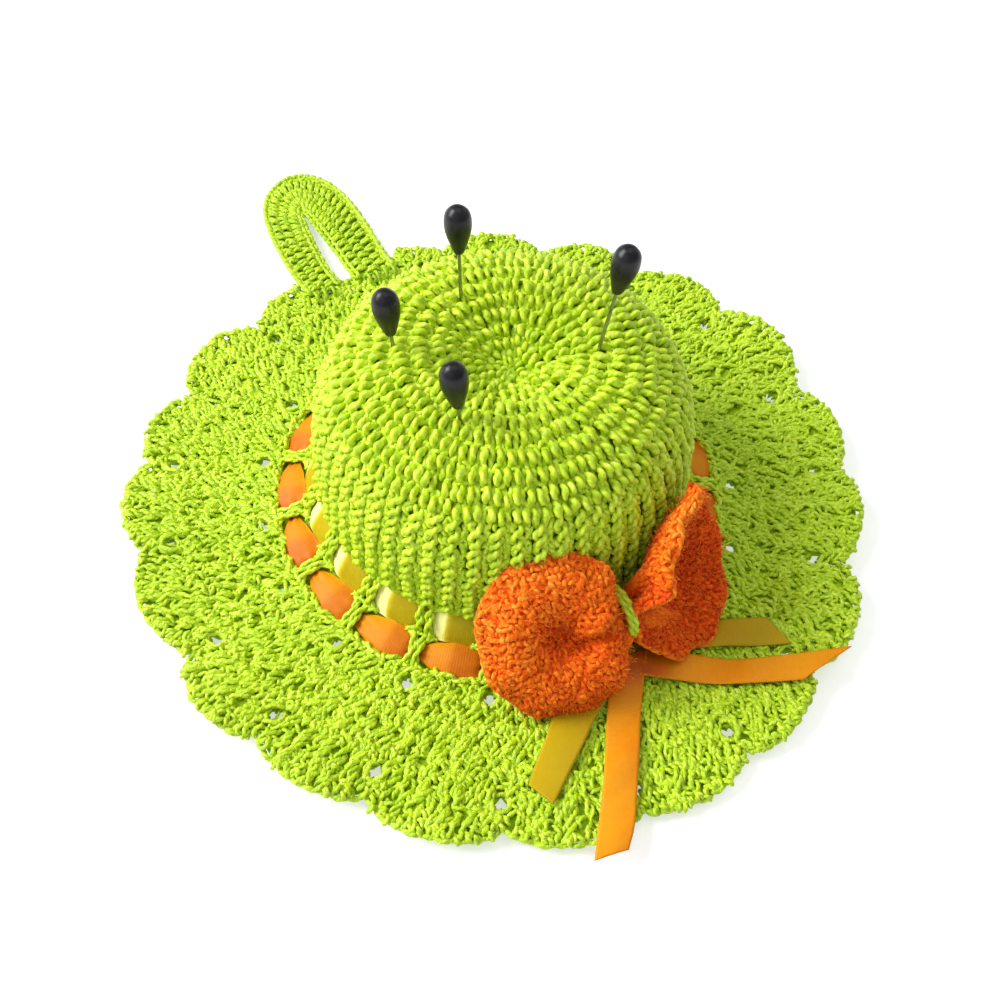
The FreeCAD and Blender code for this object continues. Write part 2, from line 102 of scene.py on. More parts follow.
class Piece:
    """Collects vertices, faces and per-vertex values for one mesh."""

    def __init__(self):
        self.points, self.quads, self.triangles = [], [], []
        # per-vertex values: the ply crest value, which paints shade in the grooves and a
        # highlight on the crests; a per-strand tone, which also carries painted light and shade;
        # and the length along the strand
        self.values = {"groove": [], "tone_and_shade": [], "along": []}
        self.size = 0

    def add(self, points, faces, values, triangles=None):
        self.points.append(points)
        self.quads.append(faces + self.size)
        if triangles is not None:
            self.triangles.append(triangles + self.size)
        for parts, value in zip(self.values.values(), values):
            parts.append(value)
        self.size += len(points)

    def build(self, name, material):
        points = np.concatenate(self.points).astype(np.float32) * MM
        four = np.concatenate(self.quads).astype(np.int32)
        three = np.concatenate(self.triangles or [np.zeros((0, 3))]).astype(np.int32)
        mesh = bpy.data.meshes.new(name)
        mesh.vertices.add(len(points))
        mesh.vertices.foreach_set("co", points.ravel())
        mesh.loops.add(four.size + three.size)
        mesh.loops.foreach_set("vertex_index", np.concatenate([four.ravel(), three.ravel()]))
        mesh.polygons.add(len(four) + len(three))
        start = np.concatenate([np.arange(len(four)) * 4,
                                four.size + np.arange(len(three)) * 3]).astype(np.int32)
        mesh.polygons.foreach_set("loop_start", start)
        mesh.polygons.foreach_set("use_smooth", np.ones(len(start), bool))
        mesh.update(calc_edges=True)
        mesh.validate()
        for key, parts in self.values.items():
            layer = mesh.attributes.new(key, "FLOAT", "POINT")
            layer.data.foreach_set("value", np.concatenate(parts).astype(np.float32))
        mesh.materials.append(material)
        obj = bpy.data.objects.new(name, mesh)
        bpy.context.scene.collection.objects.link(obj)
        return obj


def attach(obj, nodes=(), body="hat"):
    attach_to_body(obj, body)
    if nodes:
        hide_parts(*nodes)


def finish(piece, name, material, nodes=()):
    """Makes the mesh and fixes it to the hat."""
    obj = piece.build(name, material)
    attach(obj, nodes)
    return obj


def tidy(obj, weld=None, fill=False):
    """Welds close vertices, fills holes and turns the faces outwards."""
    mesh = bmesh.new()
    mesh.from_mesh(obj.data)
    if weld:
        bmesh.ops.remove_doubles(mesh, verts=mesh.verts, dist=weld)
    if fill:
        rims = [edge for edge in mesh.edges if len(edge.link_faces) == 1]
        bmesh.ops.holes_fill(mesh, edges=rims, sides=0)
    bmesh.ops.recalc_face_normals(mesh, faces=mesh.faces)
    mesh.to_mesh(obj.data)
    mesh.free()


def unit(vectors):
    return vectors / np.maximum(np.linalg.norm(vectors, axis=-1, keepdims=True), 1e-9)


def polar(radius, angle, z):
    return np.stack(np.broadcast_arrays(radius * np.cos(angle), radius * np.sin(angle), z), -1)


def row(first, last, count):
    """Stations along a strand, as one row."""
    return np.linspace(first, last, count)[None]


def column(count):
    return np.arange(count)[:, None]


def jitter(spread, count):
    """One random offset per strand, as a column."""
    return RNG.normal(0, spread, count)[:, None]


def random_phase(count):
    return RNG.random((count, 1)) * TAU


def tapered(run, low, inset=0.05, power=1.0):
    """Thickness along run 0..1: near `low` at the ends, 1 in the middle."""
    return low + (1 - low) * np.sin(PI * np.clip(inset + (1 - 2 * inset) * run, 0, 1)) ** power


def ease(value, start, end):
    part = np.clip((value - start) / (end - start), 0, 1)
    return part * part * (3 - 2 * part)


def catmull(points, count):
    """Dense points on a Catmull-Rom curve through the given points."""
    points = np.asarray(points, float)
    points = np.vstack([2 * points[0] - points[1], points, 2 * points[-1] - points[-2]])
    segments = len(points) - 3
    place = np.linspace(0, segments, count)
    i = np.minimum(place.astype(int), segments - 1)
    part = (place - i)[:, None]
    before, start, end, after = points[i], points[i + 1], points[i + 2], points[i + 3]
    return 0.5 * (2 * start + (end - before) * part
                  + (2 * before - 5 * start + 4 * end - after) * part ** 2
                  + (3 * start - before - 3 * end + after) * part ** 3)


def sweep(piece, centre, outward, width, height, twist, sides=8, groove=0.26, plies=2,
          shade=None, closed=False):
    """Plied yarn along centre lines (count, steps, 3). Width and height are
    half sizes, twist is in radians per mm and groove is the depth between plies."""
    count, steps, _ = centre.shape
    outward = np.broadcast_to(outward, centre.shape)
    width = np.broadcast_to(width, (count, steps))
    height = np.broadcast_to(height, (count, steps))
    if closed:
        tangent = np.roll(centre, -1, 1) - np.roll(centre, 1, 1)
        gaps = np.linalg.norm(np.roll(centre, -1, 1) - centre, axis=-1)
        total = gaps.sum(1)[:, None]
        gaps = gaps[:, :-1]
        twist = np.maximum(np.round(total * twist / TAU), 1) * TAU / total
    else:
        tangent = np.gradient(centre, axis=1)
        gaps = np.linalg.norm(np.diff(centre, axis=1), axis=-1)
    length = np.concatenate([np.zeros((count, 1)), np.cumsum(gaps, 1)], 1)
    tangent = unit(tangent)
    across = unit(np.cross(tangent, outward))
    upward = np.cross(across, tangent)
    phase = random_phase(count)
    if shade is None:
        shade = RNG.random(count)
    around = np.arange(sides) * TAU / sides
    turn = (length * twist + phase)[:, :, None]
    crest = 0.5 + 0.5 * np.cos(plies * (around - turn))
    scale = 1 - groove * (1 - crest)
    points = (centre[:, :, None]
              + across[:, :, None] * (width[..., None] * scale * np.cos(around))[..., None]
              + upward[:, :, None] * (height[..., None] * scale * np.sin(around))[..., None])
    points = points.reshape(-1, 3)
    # the ply crest value paints shade in the grooves and a highlight on the crests
    values = [np.broadcast_to(value, crest.shape).ravel()
              for value in (crest, shade[:, None, None], length[:, :, None])]
    body = count * steps * sides
    index = np.arange(body).reshape(count, steps, sides)
    index = np.pad(index, ((0, 0), (0, int(closed)), (0, 1)), mode="wrap")
    if closed:
        piece.add(points, quads(index), values)
        return
    # pointed end caps
    first = centre[:, 0] - tangent[:, 0] * 0.4 * width[:, 0, None]
    last = centre[:, -1] + tangent[:, -1] * 0.4 * width[:, -1, None]
    tip = np.broadcast_to(body + column(count), (count, sides))
    start, end = index[:, 0], index[:, -1]
    caps = np.concatenate([
        np.stack([tip, start[:, 1:], start[:, :-1]], -1).reshape(-1, 3),
        np.stack([tip + count, end[:, :-1], end[:, 1:]], -1).reshape(-1, 3)])
    tip_values = (np.full(2 * count, 0.5), np.concatenate([shade, shade]),
                  np.concatenate([length[:, 0], length[:, -1]]))
    values = [np.concatenate(pair) for pair in zip(values, tip_values)]
    piece.add(np.concatenate([points, first, last]), quads(index), values, caps)


def grid(piece, points, groove=0.5, shade=0.5, along=0.0, wrap_u=False, wrap_v=False,
         flip=False):
    """A quad sheet from points (u, v, 3)."""
    shape = points.shape[:2]
    index = np.arange(shape[0] * shape[1]).reshape(shape)
    faces = quads(np.pad(index, ((0, int(wrap_u)), (0, int(wrap_v))), mode="wrap"))
    if not flip:
        faces = faces[:, [0, 3, 2, 1]]
    values = [np.broadcast_to(value, shape).ravel() for value in (groove, shade, along)]
    piece.add(points.reshape(-1, 3), faces, values)


def closed_skin(piece, outer, inner, groove=0.5, shade=0.5, flip=False):
    """Two round sheets joined at both rims."""
    grid(piece, np.concatenate([outer, inner[::-1]], 0), groove, shade,
         wrap_u=True, wrap_v=True, flip=flip)


# ------------------------------------------------------------------ materials
class Nodes:
    """Short calls that add nodes to one shader tree."""

    def __init__(self, tree):
        self.tree = tree

    def link(self, source, target):
        self.tree.links.new(source, target)

    def attribute(self, name):
        node = self.tree.nodes.new("ShaderNodeAttribute")
        node.attribute_name = name
        return node.outputs["Fac"]

    def coordinates(self):
        return self.tree.nodes.new("ShaderNodeTexCoord").outputs["Object"]

    def math(self, operation, first, second=None, clamp=False):
        node = self.tree.nodes.new("ShaderNodeMath")
        node.operation = operation
        node.use_clamp = clamp
        for i, value in enumerate((first, second)):
            if isinstance(value, (int, float)):
                node.inputs[i].default_value = value
            elif value is not None:
                self.link(value, node.inputs[i])
        return node.outputs[0]

    def scaled(self, value, factor, offset):
        return self.math("ADD", self.math("MULTIPLY", value, factor), offset)

    def weighted(self, *terms, clamp=False):
        """Sum of (socket, weight) terms; clamp applies to the last addition."""
        total = self.math("MULTIPLY", *terms[0])
        for i, term in enumerate(terms[1:], 2):
            total = self.math("ADD", total, self.math("MULTIPLY", *term),
                              clamp and i == len(terms))
        return total

    def noise(self, vector, scale, detail, roughness):
        node = self.tree.nodes.new("ShaderNodeTexNoise")
        node.inputs["Scale"].default_value = scale
        node.inputs["Detail"].default_value = detail
        node.inputs["Roughness"].default_value = roughness
        self.link(vector, node.inputs["Vector"])
        return node.outputs["Fac"]

    def ramp(self, factor, stops):
        node = self.tree.nodes.new("ShaderNodeValToRGB")
        elements = node.color_ramp.elements
        while len(elements) < len(stops):
            elements.new(0.5)
        for element, (position, colour) in zip(elements, stops):
            element.position = position
            element.color = (*colour, 1)
        self.link(factor, node.inputs[0])
        return node.outputs[0]

    def bump(self, shader, height, strength, distance):
        node = self.tree.nodes.new("ShaderNodeBump")
        node.inputs["Strength"].default_value = strength
        node.inputs["Distance"].default_value = distance
        self.link(height, node.inputs["Height"])
        self.link(node.outputs["Normal"], shader.inputs["Normal"])


def new_material(name):
    material = bpy.data.materials.new(name)
    material.use_nodes = True
    return material, Nodes(material.node_tree), material.node_tree.nodes["Principled BSDF"]


def set_inputs(shader, values):
    for name, value in values.items():
        shader.inputs[name].default_value = value


def yarn_material(name, stops, rough, sheen, spec, sheen_tint=(1, 1, 0.6), patches=0.18,
                  bump=0.35):
    """Yarn: painted shade in the ply grooves and a painted highlight on the
    crests, with fibre noise along the strand, patchy variation and a
    per-strand tone that is stitch-to-stitch variation and, on the bow,
    painted light and shade."""
    material, nodes, shader = new_material(name)
    vector = nodes.coordinates()
    groove = nodes.attribute("groove")
    stitch_tone_and_shade = nodes.attribute("tone_and_shade")
    along = nodes.attribute("along")
    fibre = nodes.noise(vector, scale=1900.0, detail=3.0, roughness=0.65)
    fibre = nodes.scaled(fibre, factor=1.7, offset=-0.35)
    patch = nodes.noise(vector, scale=45.0, detail=2.0, roughness=0.5)
    darken = 0.10
    # painted shade and highlight: grooves darker, crests lighter; the pale top stop of the ramp
    # gives the painted highlight on the crests
    tone = nodes.weighted((groove, 0.40), (stitch_tone_and_shade, 0.22), (fibre, 0.30), (patch, patches))
    tone = nodes.math("SUBTRACT", tone, darken, clamp=True)
    nodes.link(nodes.ramp(tone, stops), shader.inputs["Base Color"])
    nodes.link(nodes.scaled(fibre, factor=0.25, offset=rough - 0.1), shader.inputs["Roughness"])
    set_inputs(shader, {"Specular IOR Level": spec, "Sheen Weight": sheen,
                        "Sheen Roughness": 0.4, "Sheen Tint": (*sheen_tint, 1)})
    # fibre lines: fine noise plus a slanted wave around the strand
    wave = nodes.math("SINE", nodes.weighted((along, 9.0), (groove, 5.0)))
    nodes.bump(shader, nodes.scaled(wave, factor=0.25, offset=fibre),
               strength=bump, distance=0.00012)
    return material


def satin_material(name, stops, rough):
    """Satin ribbon: fine cross ribs, an anisotropic shine, paler selvage."""
    material, nodes, shader = new_material(name)
    vector = nodes.coordinates()
    selvage = nodes.attribute("groove")
    along = nodes.attribute("along")
    # the per-strand tone carries painted light and shade: the lit and shaded sides of each
    # ribbon fold, painted shade at the ends tucked under the posts and the bow's painted shadow
    # on the tails
    fold = nodes.attribute("tone_and_shade")
    fine = nodes.noise(vector, scale=900.0, detail=3.0, roughness=0.6)
    patch = nodes.noise(vector, scale=120.0, detail=2.0, roughness=0.5)
    tone = nodes.weighted((fine, 0.25), (patch, 0.25), (fold, 0.60), (selvage, 0.16), clamp=True)
    nodes.link(nodes.ramp(tone, stops), shader.inputs["Base Color"])
    set_inputs(shader, {"Roughness": rough, "Specular IOR Level": 0.16, "Anisotropic": 0.5})
    ribs_per_mm = 16.0              # radians
    ribs = nodes.math("SINE", nodes.math("MULTIPLY", along, ribs_per_mm))
    nodes.bump(shader, nodes.weighted((ribs, 0.5), (fine, 0.6)), strength=0.22, distance=0.00008)
    return material


def noise_material(name, stops, rough, metal=0.0, scale=400.0, bump=0.1, spec=0.5,
                   distance=0.0001):
    """A plain surface with one noise in its colour, roughness and bump."""
    material, nodes, shader = new_material(name)
    grain = nodes.noise(nodes.coordinates(), scale=scale, detail=4.0, roughness=0.6)
    nodes.link(nodes.ramp(grain, stops), shader.inputs["Base Color"])
    nodes.link(nodes.scaled(grain, factor=0.12, offset=rough - 0.06), shader.inputs["Roughness"])
    set_inputs(shader, {"Metallic": metal, "Specular IOR Level": spec, "Coat Roughness": 0.12})
    nodes.bump(shader, grain, strength=bump, distance=distance)
    return material


GREEN = yarn_material("green_cotton", [
    (0.00, (0.225, 0.380, 0.001)), (0.30, (0.365, 0.545, 0.002)),
    (0.60, (0.545, 0.720, 0.008)), (1.00, (0.870, 0.940, 0.240))],
    rough=0.40, sheen=0.08, sheen_tint=(1.0, 1.0, 0.3), spec=0.52, bump=0.75)
# a slightly darker copy of the same green cotton: painted shade on the brim and the hanging loop
GREEN_BRIM = yarn_material("green_cotton_brim", [
    (0.00, (0.200, 0.355, 0.001)), (0.30, (0.325, 0.510, 0.002)),
    (0.60, (0.490, 0.680, 0.006)), (1.00, (0.820, 0.915, 0.220))],
    rough=0.40, sheen=0.08, sheen_tint=(1.0, 1.0, 0.3), spec=0.50, bump=0.75)
# darker copy of the green cotton for the layers behind the stitches: painted shade between and
# behind them
GREEN_SHADOW = yarn_material("green_cotton_shadow", [
    (0.00, (0.150, 0.290, 0.001)), (0.50, (0.310, 0.480, 0.002)),
    (1.00, (0.430, 0.610, 0.004))], rough=0.7, sheen=0.0, spec=0.2)
ORANGE = yarn_material("orange_wool", [
    (0.00, (0.500, 0.028, 0.001)), (0.32, (0.730, 0.086, 0.002)),
    (0.66, (0.850, 0.205, 0.007)), (1.00, (0.900, 0.440, 0.075))],
    rough=0.75, sheen=0.20, sheen_tint=(1.0, 0.45, 0.10), spec=0.15, bump=0.6, patches=0.30)
# darker copy of the orange wool for the layer inside the bow lobes: painted shade between the
# stitches
ORANGE_SHADOW = yarn_material("orange_wool_shadow", [
    (0.00, (0.560, 0.036, 0.001)), (0.60, (0.760, 0.086, 0.002)),
    (1.00, (0.830, 0.135, 0.004))], rough=0.9, sheen=0.1, spec=0.1)
SATIN_ORANGE = satin_material("orange_satin", [
    (0.00, (0.400, 0.060, 0.001)), (0.30, (0.560, 0.140, 0.001)),
    (0.60, (0.640, 0.225, 0.001)), (1.00, (0.740, 0.335, 0.006))], rough=0.48)
SATIN_YELLOW = satin_material("yellow_satin", [
    (0.00, (0.300, 0.190, 0.003)), (0.34, (0.480, 0.370, 0.008)),
    (0.52, (0.640, 0.530, 0.040)), (0.66, (0.900, 0.870, 0.290)),
    (1.00, (0.950, 0.940, 0.420))], rough=0.45)
SATIN_OLD_GOLD = satin_material("old_gold_satin", [
    (0.00, (0.270, 0.155, 0.001)), (0.45, (0.390, 0.255, 0.001)),
    (1.00, (0.480, 0.335, 0.001))], rough=0.5)
BEAD = noise_material("black_glazed_bead", [
    (0.3, (0.0015, 0.0015, 0.002)), (0.7, (0.008, 0.008, 0.011))],
    rough=0.34, scale=500.0, bump=0.5, spec=0.30)
STEEL = noise_material("pin_steel", [
    (0.3, (0.23, 0.23, 0.24)), (0.7, (0.42, 0.42, 0.43))],
    rough=0.3, metal=1.0, scale=900.0, bump=0.05)
CARD = noise_material("grey_card", [
    (0.3, (0.42, 0.33, 0.22)), (0.7, (0.56, 0.45, 0.31))],
    rough=0.85, scale=700.0, bump=0.4)
FIBRE = noise_material("white_filling", [
    (0.3, (0.66, 0.66, 0.62)), (0.7, (0.88, 0.88, 0.86))],
    rough=0.95, scale=900.0, bump=0.8, distance=0.0006)


# -------------------------------------------------------- crown surface frame
def crown_outline():
    """Dense outline points, their arc lengths and smoothed outward normals."""
    curved = catmull(CROWN_PROFILE[:-2], CURVE_POINTS)
    corner, end = np.array(CROWN_PROFILE[-2:])
    outline = np.vstack([curved,
                         np.linspace(curved[-1], corner, STRAIGHT_POINTS + 1)[1:],
                         np.linspace(corner, end, STRAIGHT_POINTS + 1)[1:]])
    arcs = np.r_[0, np.cumsum(np.hypot(*np.diff(outline, axis=0).T))]
    tangent = unit(np.gradient(outline, axis=0))
    reach = 20                      # points averaged on either side
    window = np.ones(2 * reach + 1) / (2 * reach + 1)
    normal = np.stack([np.convolve(np.pad(part, reach, "edge"), window, "valid")
                       for part in (-tangent[:, 1], tangent[:, 0])], -1)
    normal[:4, 0] = 0.0             # straight up at the centre
    return outline, arcs, unit(normal)


OUTLINE, ARCS, NORMALS = crown_outline()
ARC_END = ARCS[-1]
ARC_CHAIN = float(ARCS[CURVE_POINTS - 1 + STRAIGHT_POINTS])  # between the eyelet rounds
BELOW = ARCS > 50
ARC_WALL_END = float(np.interp(31.75, OUTLINE[BELOW, 0], ARCS[BELOW]))


def crown_radius(arc):
    return np.interp(arc, ARCS, OUTLINE[:, 0])


def warp(points):
    """The crown is hand stuffed, so it is not perfectly round."""
    x, y, z = points[..., 0], points[..., 1], points[..., 2]
    radius = np.hypot(x, y)
    angle = np.arctan2(y, x)
    shift = 0.9 * np.clip(1 - (radius / 28.0) ** 2, 0, 1) ** 2 * ease(z, 20, 30)
    lump = ease(z, 9, 18) * (1 - 0.4 * ease(radius, 24, 10))
    swell = lump * (0.35 * np.sin(2 * angle + 0.8) + 0.22 * np.sin(3 * angle + 2.1))
    rise = ease(z, 20, 34) * (0.30 * np.sin(angle - 1.0)
                              + 0.25 * np.sin(3 * angle + 0.4) * ease(radius, 3, 14))
    rise = rise - 0.9 * np.exp(-(radius / 6.5) ** 2) * ease(z, 20, 30)
    return np.stack([x + shift + swell * np.cos(angle),
                     y + shift + swell * np.sin(angle), z + rise], -1)


def crown(arc, angle, side=0.0, lift=0.0):
    """Point and normal at an arc length and angle, moved side mm round the
    crown and lift mm outwards."""
    radius = crown_radius(arc)
    z = np.interp(arc, ARCS, OUTLINE[:, 1])
    out = np.interp(arc, ARCS, NORMALS[:, 0])
    rise = np.interp(arc, ARCS, NORMALS[:, 1])
    angle = angle + side / np.maximum(radius, 0.8)
    return (warp(polar(radius + lift * out, angle, z + lift * rise)),
            polar(out, angle, rise))


def strands(piece, arc, angle, side, lift, width, height, **yarn):
    centre, outward = crown(*np.broadcast_arrays(arc, angle, side, lift))
    sweep(piece, centre, outward, width, height, **yarn)


# --------------------------------------------------------- crown, top rounds
# arc length where each round starts; the first ones are small and tight
ROUND_ARCS = [0.1, 1.3, 2.7, 4.3, 6.2, 8.5, 11.1, 14.0, 17.0, 19.95, 22.9, 25.8, 28.7,
              ARC_WALL_TOP]


def top_round(piece, start, depth):
    """One round of stitches from arc length start, depth mm wide."""
    run = row(0, 1, 13)
    arch = np.sin(PI * run) ** 1.35
    taper = tapered(run, 0.48, 0.04, 0.7)
    middle = crown_radius(start + depth / 2)
    count = min(max(int(round(TAU * middle / 3.35)), 5), RIBS)
    phase = RNG.random() * TAU
    angle = (column(count) + jitter(0.06, count)) * TAU / count + phase
    pitch = min(TAU * middle / count, 3.6)
    scale = pitch / 3.46
    tall = min(1.0, 0.55 + 0.45 * depth / 2.9)
    for hand in (-1, 1):            # the two legs of each stitch
        arc_shift = jitter(0.22, count)
        side_shift = jitter(0.11, count)
        slant = 0.25 + jitter(0.25, count)
        arc = start + 0.05 + arc_shift + (depth - 0.05) * run
        side = scale * (hand * (0.76 + 0.06 * run) + slant * (run - 0.4) + side_shift)
        lift = -0.88 + tall * (1.54 + jitter(0.15, count)) * arch
        width = 0.70 * max(scale, 0.62) * taper * (1 + jitter(0.10, count))
        strands(piece, arc, angle, side, lift, width, 0.80 * taper,
                twist=1.9, sides=11, groove=0.24)
    # the yarn behind, filling the space between two stitches
    for offset, slant, low in ((0.5, 0.35, -0.50), (0.0, -0.2, -0.70)):
        arc = start - 0.35 + (depth + 0.7) * run + jitter(0.12, count)
        side = pitch * offset + slant * (run - 0.5) + jitter(0.08, count)
        lift = low + 0.24 * arch + jitter(0.08, count)
        strands(piece, arc, angle, side, lift, 0.66 * max(scale, 0.7) * taper, 0.55 * taper,
                twist=2.0, groove=0.24)
    # short bars between two rounds
    run = row(-0.5, 0.5, 8)
    taper = tapered(run + 0.5, 0.5, 0.04)
    for hand in (-1, 1):
        tilt = (0.9 + jitter(0.35, count)) * hand
        length = 1.7 + 0.6 * RNG.random((count, 1))
        arc = start + jitter(0.18, count) + length * run * np.cos(tilt)
        side = hand * 0.25 * pitch + jitter(0.2, count) + length * run * np.sin(tilt)
        lift = -0.62 + 0.42 * np.cos(PI * run) + jitter(0.14, count)
        strands(piece, arc, angle, side, lift, 0.52 * max(scale, 0.7) * taper, 0.46 * taper,
                twist=2.2, sides=7)


def crown_top():
    pieces = [Piece(), Piece(), Piece()]
    for i, (start, end) in enumerate(zip(ROUND_ARCS, ROUND_ARCS[1:])):
        piece = pieces[0] if i < 9 else pieces[1] if i < 11 else pieces[2]
        top_round(piece, start, end - start)
    for i, piece in enumerate(pieces, 1):
        finish(piece, "crown_top_stitches_%d" % i, GREEN,
               nodes=("crown_cover",) if i == 1 else ())


# ------------------------------------------------------- crown, ribbed wall
def wall_stitches(piece, start, depth, angle):
    """One row of the wall on the ribs at the given angles."""
    count = len(angle)
    pitch = TAU * crown_radius(start + depth / 2) / RIBS
    side_shift = jitter(0.16, count)
    lean = 0.10 + jitter(0.20, count)
    phase = jitter(0.7, count)
    sink = jitter(0.10, count)
    run = row(0, 1, 17)
    bow = np.sin(PI * run)
    taper = tapered(run, 0.74, 0.05, 0.5)
    for hand in (-1, 1):            # two strands wound round each other
        arc = start - 0.35 + (depth + 0.75) * run + jitter(0.14, count)
        turn = TAU * run * 1.1 + phase
        side = hand * 0.72 * np.cos(turn) + lean * (run - 0.5) * 2 + side_shift
        pinch = 0.84 + 0.16 * bow
        lift = 0.42 * hand * np.sin(turn) + 0.24 * bow - 0.26 * (1 - bow) ** 3 + sink
        width = 0.63 * taper * (1 + jitter(0.10, count))
        strands(piece, arc, angle, side * pinch, lift, width, 0.66 * taper, twist=2.0, sides=9)
    # the yarn between two ribs: slanted legs of the round behind
    run = row(0, 1, 9)
    taper = tapered(run, 0.55)
    for i in range(3):
        for hand in (-1, 1):
            arc = start - 0.5 + depth * i / 3.0 + 1.9 * run + jitter(0.2, count)
            side = pitch / 2 + hand * (0.60 - 1.20 * run) + side_shift + jitter(0.12, count)
            lift = -0.46 + 0.38 * np.sin(PI * run) + jitter(0.12, count)
            strands(piece, arc, angle, side, lift, 0.52 * taper, 0.46 * taper,
                    twist=2.2, sides=7)


def wall():
    angle = POST_ANGLES[0] + column(RIBS) * TAU / RIBS
    depth = (ARC_WALL_END - 0.2 - ARC_WALL_TOP) / WALL_ROWS
    pieces = [Piece(), Piece(), Piece()]
    for level in range(WALL_ROWS):
        for i, piece in enumerate(pieces):
            wall_stitches(piece, ARC_WALL_TOP + depth * level, depth,
                          angle[SCALLOPS * i:SCALLOPS * (i + 1)])
    for i, piece in enumerate(pieces, 1):
        finish(piece, "crown_wall_ribs_%d" % i, GREEN)


# ---------------------------------------------------------- eyelet rounds
def twisted_posts(piece, top, bottom, swing, thick, splay, lift_mid, wide, turns):
    """A post is two plied pairs side by side that spread out at both ends."""
    count = SCALLOPS
    angle = POST_ANGLES[:, None]
    run = row(0, 1, 24)
    ends = np.abs(2 * run - 1) ** 2.6
    taper = tapered(run, 0.75, 0.04, 0.5)
    lean = jitter(0.22, count)
    for hand in (-1, 1):
        phase = random_phase(count)
        for half_turn in (0, PI):
            arc = top + (bottom - top) * run + jitter(0.10, count)
            turn = TAU * run * turns + phase + half_turn
            loose = 1 - 0.5 * ends
            side = hand * (wide + splay * ends) + swing * np.cos(turn) * loose \
                + lean * (run - 0.5) * 2
            lift = lift_mid + 0.36 * np.sin(turn) * loose + 0.25 * np.sin(PI * run) - 0.45 * ends
            strands(piece, arc, angle, side, lift, thick * taper, thick * 0.92 * taper,
                    twist=2.0, sides=9)
    # short legs that close the corners beside each post
    run = row(0, 1, 9)
    taper = tapered(run, 0.6, 0)
    for hand in (-1, 1):
        for end, inward in ((top, 1), (bottom, -1)):
            for i in range(2):
                arc = end + inward * (0.15 + 1.45 * run) + jitter(0.08, count)
                side = hand * (wide + 0.45 + (splay + 1.1 - 0.55 * i) * (1 - run) ** 1.2)
                lift = lift_mid - 0.35 + 0.2 * np.sin(PI * run) + jitter(0.06, count)
                strands(piece, arc, angle, side, lift, thick * 0.9 * taper,
                        thick * 0.8 * taper, twist=2.0)


def ring_chain(piece, arc, lift, thick):
    angle = np.linspace(0, TAU, 420, endpoint=False)[None]
    arc = arc + 0.15 * np.sin(RIBS * angle + 0.5) + 0.08 * np.sin(11 * angle)
    centre, outward = crown(arc, angle, lift=lift + 0.12 * np.cos(RIBS * angle))
    sweep(piece, centre, outward, thick, thick, twist=1.6, sides=9, groove=0.25, closed=True)


def slanted(radius, angle, tilt, length, run, bend=0.0):
    """Polar places along short legs that lean by tilt from the radial."""
    radius = radius[:, None] + length[:, None] * run * np.cos(tilt)[:, None]
    shift = length[:, None] * run * np.sin(tilt)[:, None] + bend
    return radius, angle[:, None] + shift / radius


def upper_eyelets():
    piece = Piece()
    ring_chain(piece, ARC_WALL_END + 0.15, lift=-0.45, thick=0.66)
    twisted_posts(piece, ARC_WALL_END - 0.7, ARC_CHAIN + 0.5, swing=0.42, thick=0.50,
                  splay=0.50, lift_mid=0.10, wide=0.80, turns=1.25)
    finish(piece, "upper_eyelet_posts", GREEN, nodes=("upper_eyelet_round",))


def lower_eyelets():
    piece = Piece()
    # the chain dips under the ribbons and shows beside the posts
    angle = np.linspace(0, TAU, 760, endpoint=False)[None]
    off_post = np.abs(np.angle(np.exp(1j * (angle - POST_ANGLES[0]) * SCALLOPS))) / SCALLOPS
    off_post = off_post * CROWN_PROFILE[-2][0]
    lift = -0.98 + 0.98 * (1 - ease(off_post, 1.3, 3.2))
    centre, outward = crown(ARC_CHAIN + 0.12 * np.sin(RIBS * angle), angle, lift=lift)
    sweep(piece, centre, outward, 0.42, 0.42, twist=1.9, groove=0.25, closed=True)
    twisted_posts(piece, ARC_CHAIN - 0.5, ARC_END + 0.7, swing=0.38, thick=0.46,
                  splay=0.65, lift_mid=0.05, wide=0.55, turns=1.0)
    ring_chain(piece, ARC_END + 0.25, lift=-0.55, thick=0.60)
    # uneven yarn where the brim is worked into the last chain
    count = 230
    angle = (np.arange(count) + RNG.random(count)) * TAU / count
    tilt = RNG.normal(1.15, 0.45, count) * np.where(RNG.random(count) < 0.5, -1, 1)
    length = 2.0 + 1.3 * RNG.random(count)
    run = row(-0.5, 0.5, 9)
    radius = 39.75 + RNG.normal(0, 0.28, count)
    radius, angle = slanted(radius, angle, tilt, length, run)
    x, y = radius * np.cos(angle), radius * np.sin(angle)
    lift = -0.35 + 0.62 * np.cos(PI * run) + jitter(0.14, count)
    taper = tapered(run + 0.5, 0.5, 0.04)
    sweep(piece, np.stack([x, y, brim_z(x, y) + lift], -1), Z_UP, 0.50 * taper, 0.46 * taper,
          twist=2.4, groove=0.32)
    finish(piece, "lower_eyelet_posts", GREEN, nodes=("lower_eyelet_round",))


def eyelet_lining():
    """The plain round of yarn behind the ribbons, in the darker shadow copy of the green yarn:
    painted shade behind the ribbons and posts.
    """
    piece = Piece()
    arc, angle = np.meshgrid(np.linspace(ARC_WALL_END - 0.3, ARC_END + 0.4, 22),
                             np.linspace(0, TAU, 380, endpoint=False), indexing="ij")
    outer, _ = crown(arc, angle,
                     lift=-1.38 + 0.10 * np.sin(arc * 3.0) + 0.06 * np.sin(angle * 2 * RIBS))
    inner, _ = crown(arc, angle, lift=-1.80)
    outer[..., 2] = np.maximum(outer[..., 2], 1.65)
    inner[..., 2] = np.maximum(inner[..., 2], 1.30)
    closed_skin(piece, outer, inner)
    finish(piece, "eyelet_inner_layer", GREEN_SHADOW)


# ------------------------------------------------------------ woven ribbons
# orange ribbon: share of the full width at places -1..1 across one window
ORANGE_WIDTH = ([-1.1, -0.92, -0.45, 0.10, 0.45, 0.80, 0.95, 1.1],
                [0.26, 0.34, 0.78, 1.06, 1.04, 0.86, 0.45, 0.26])


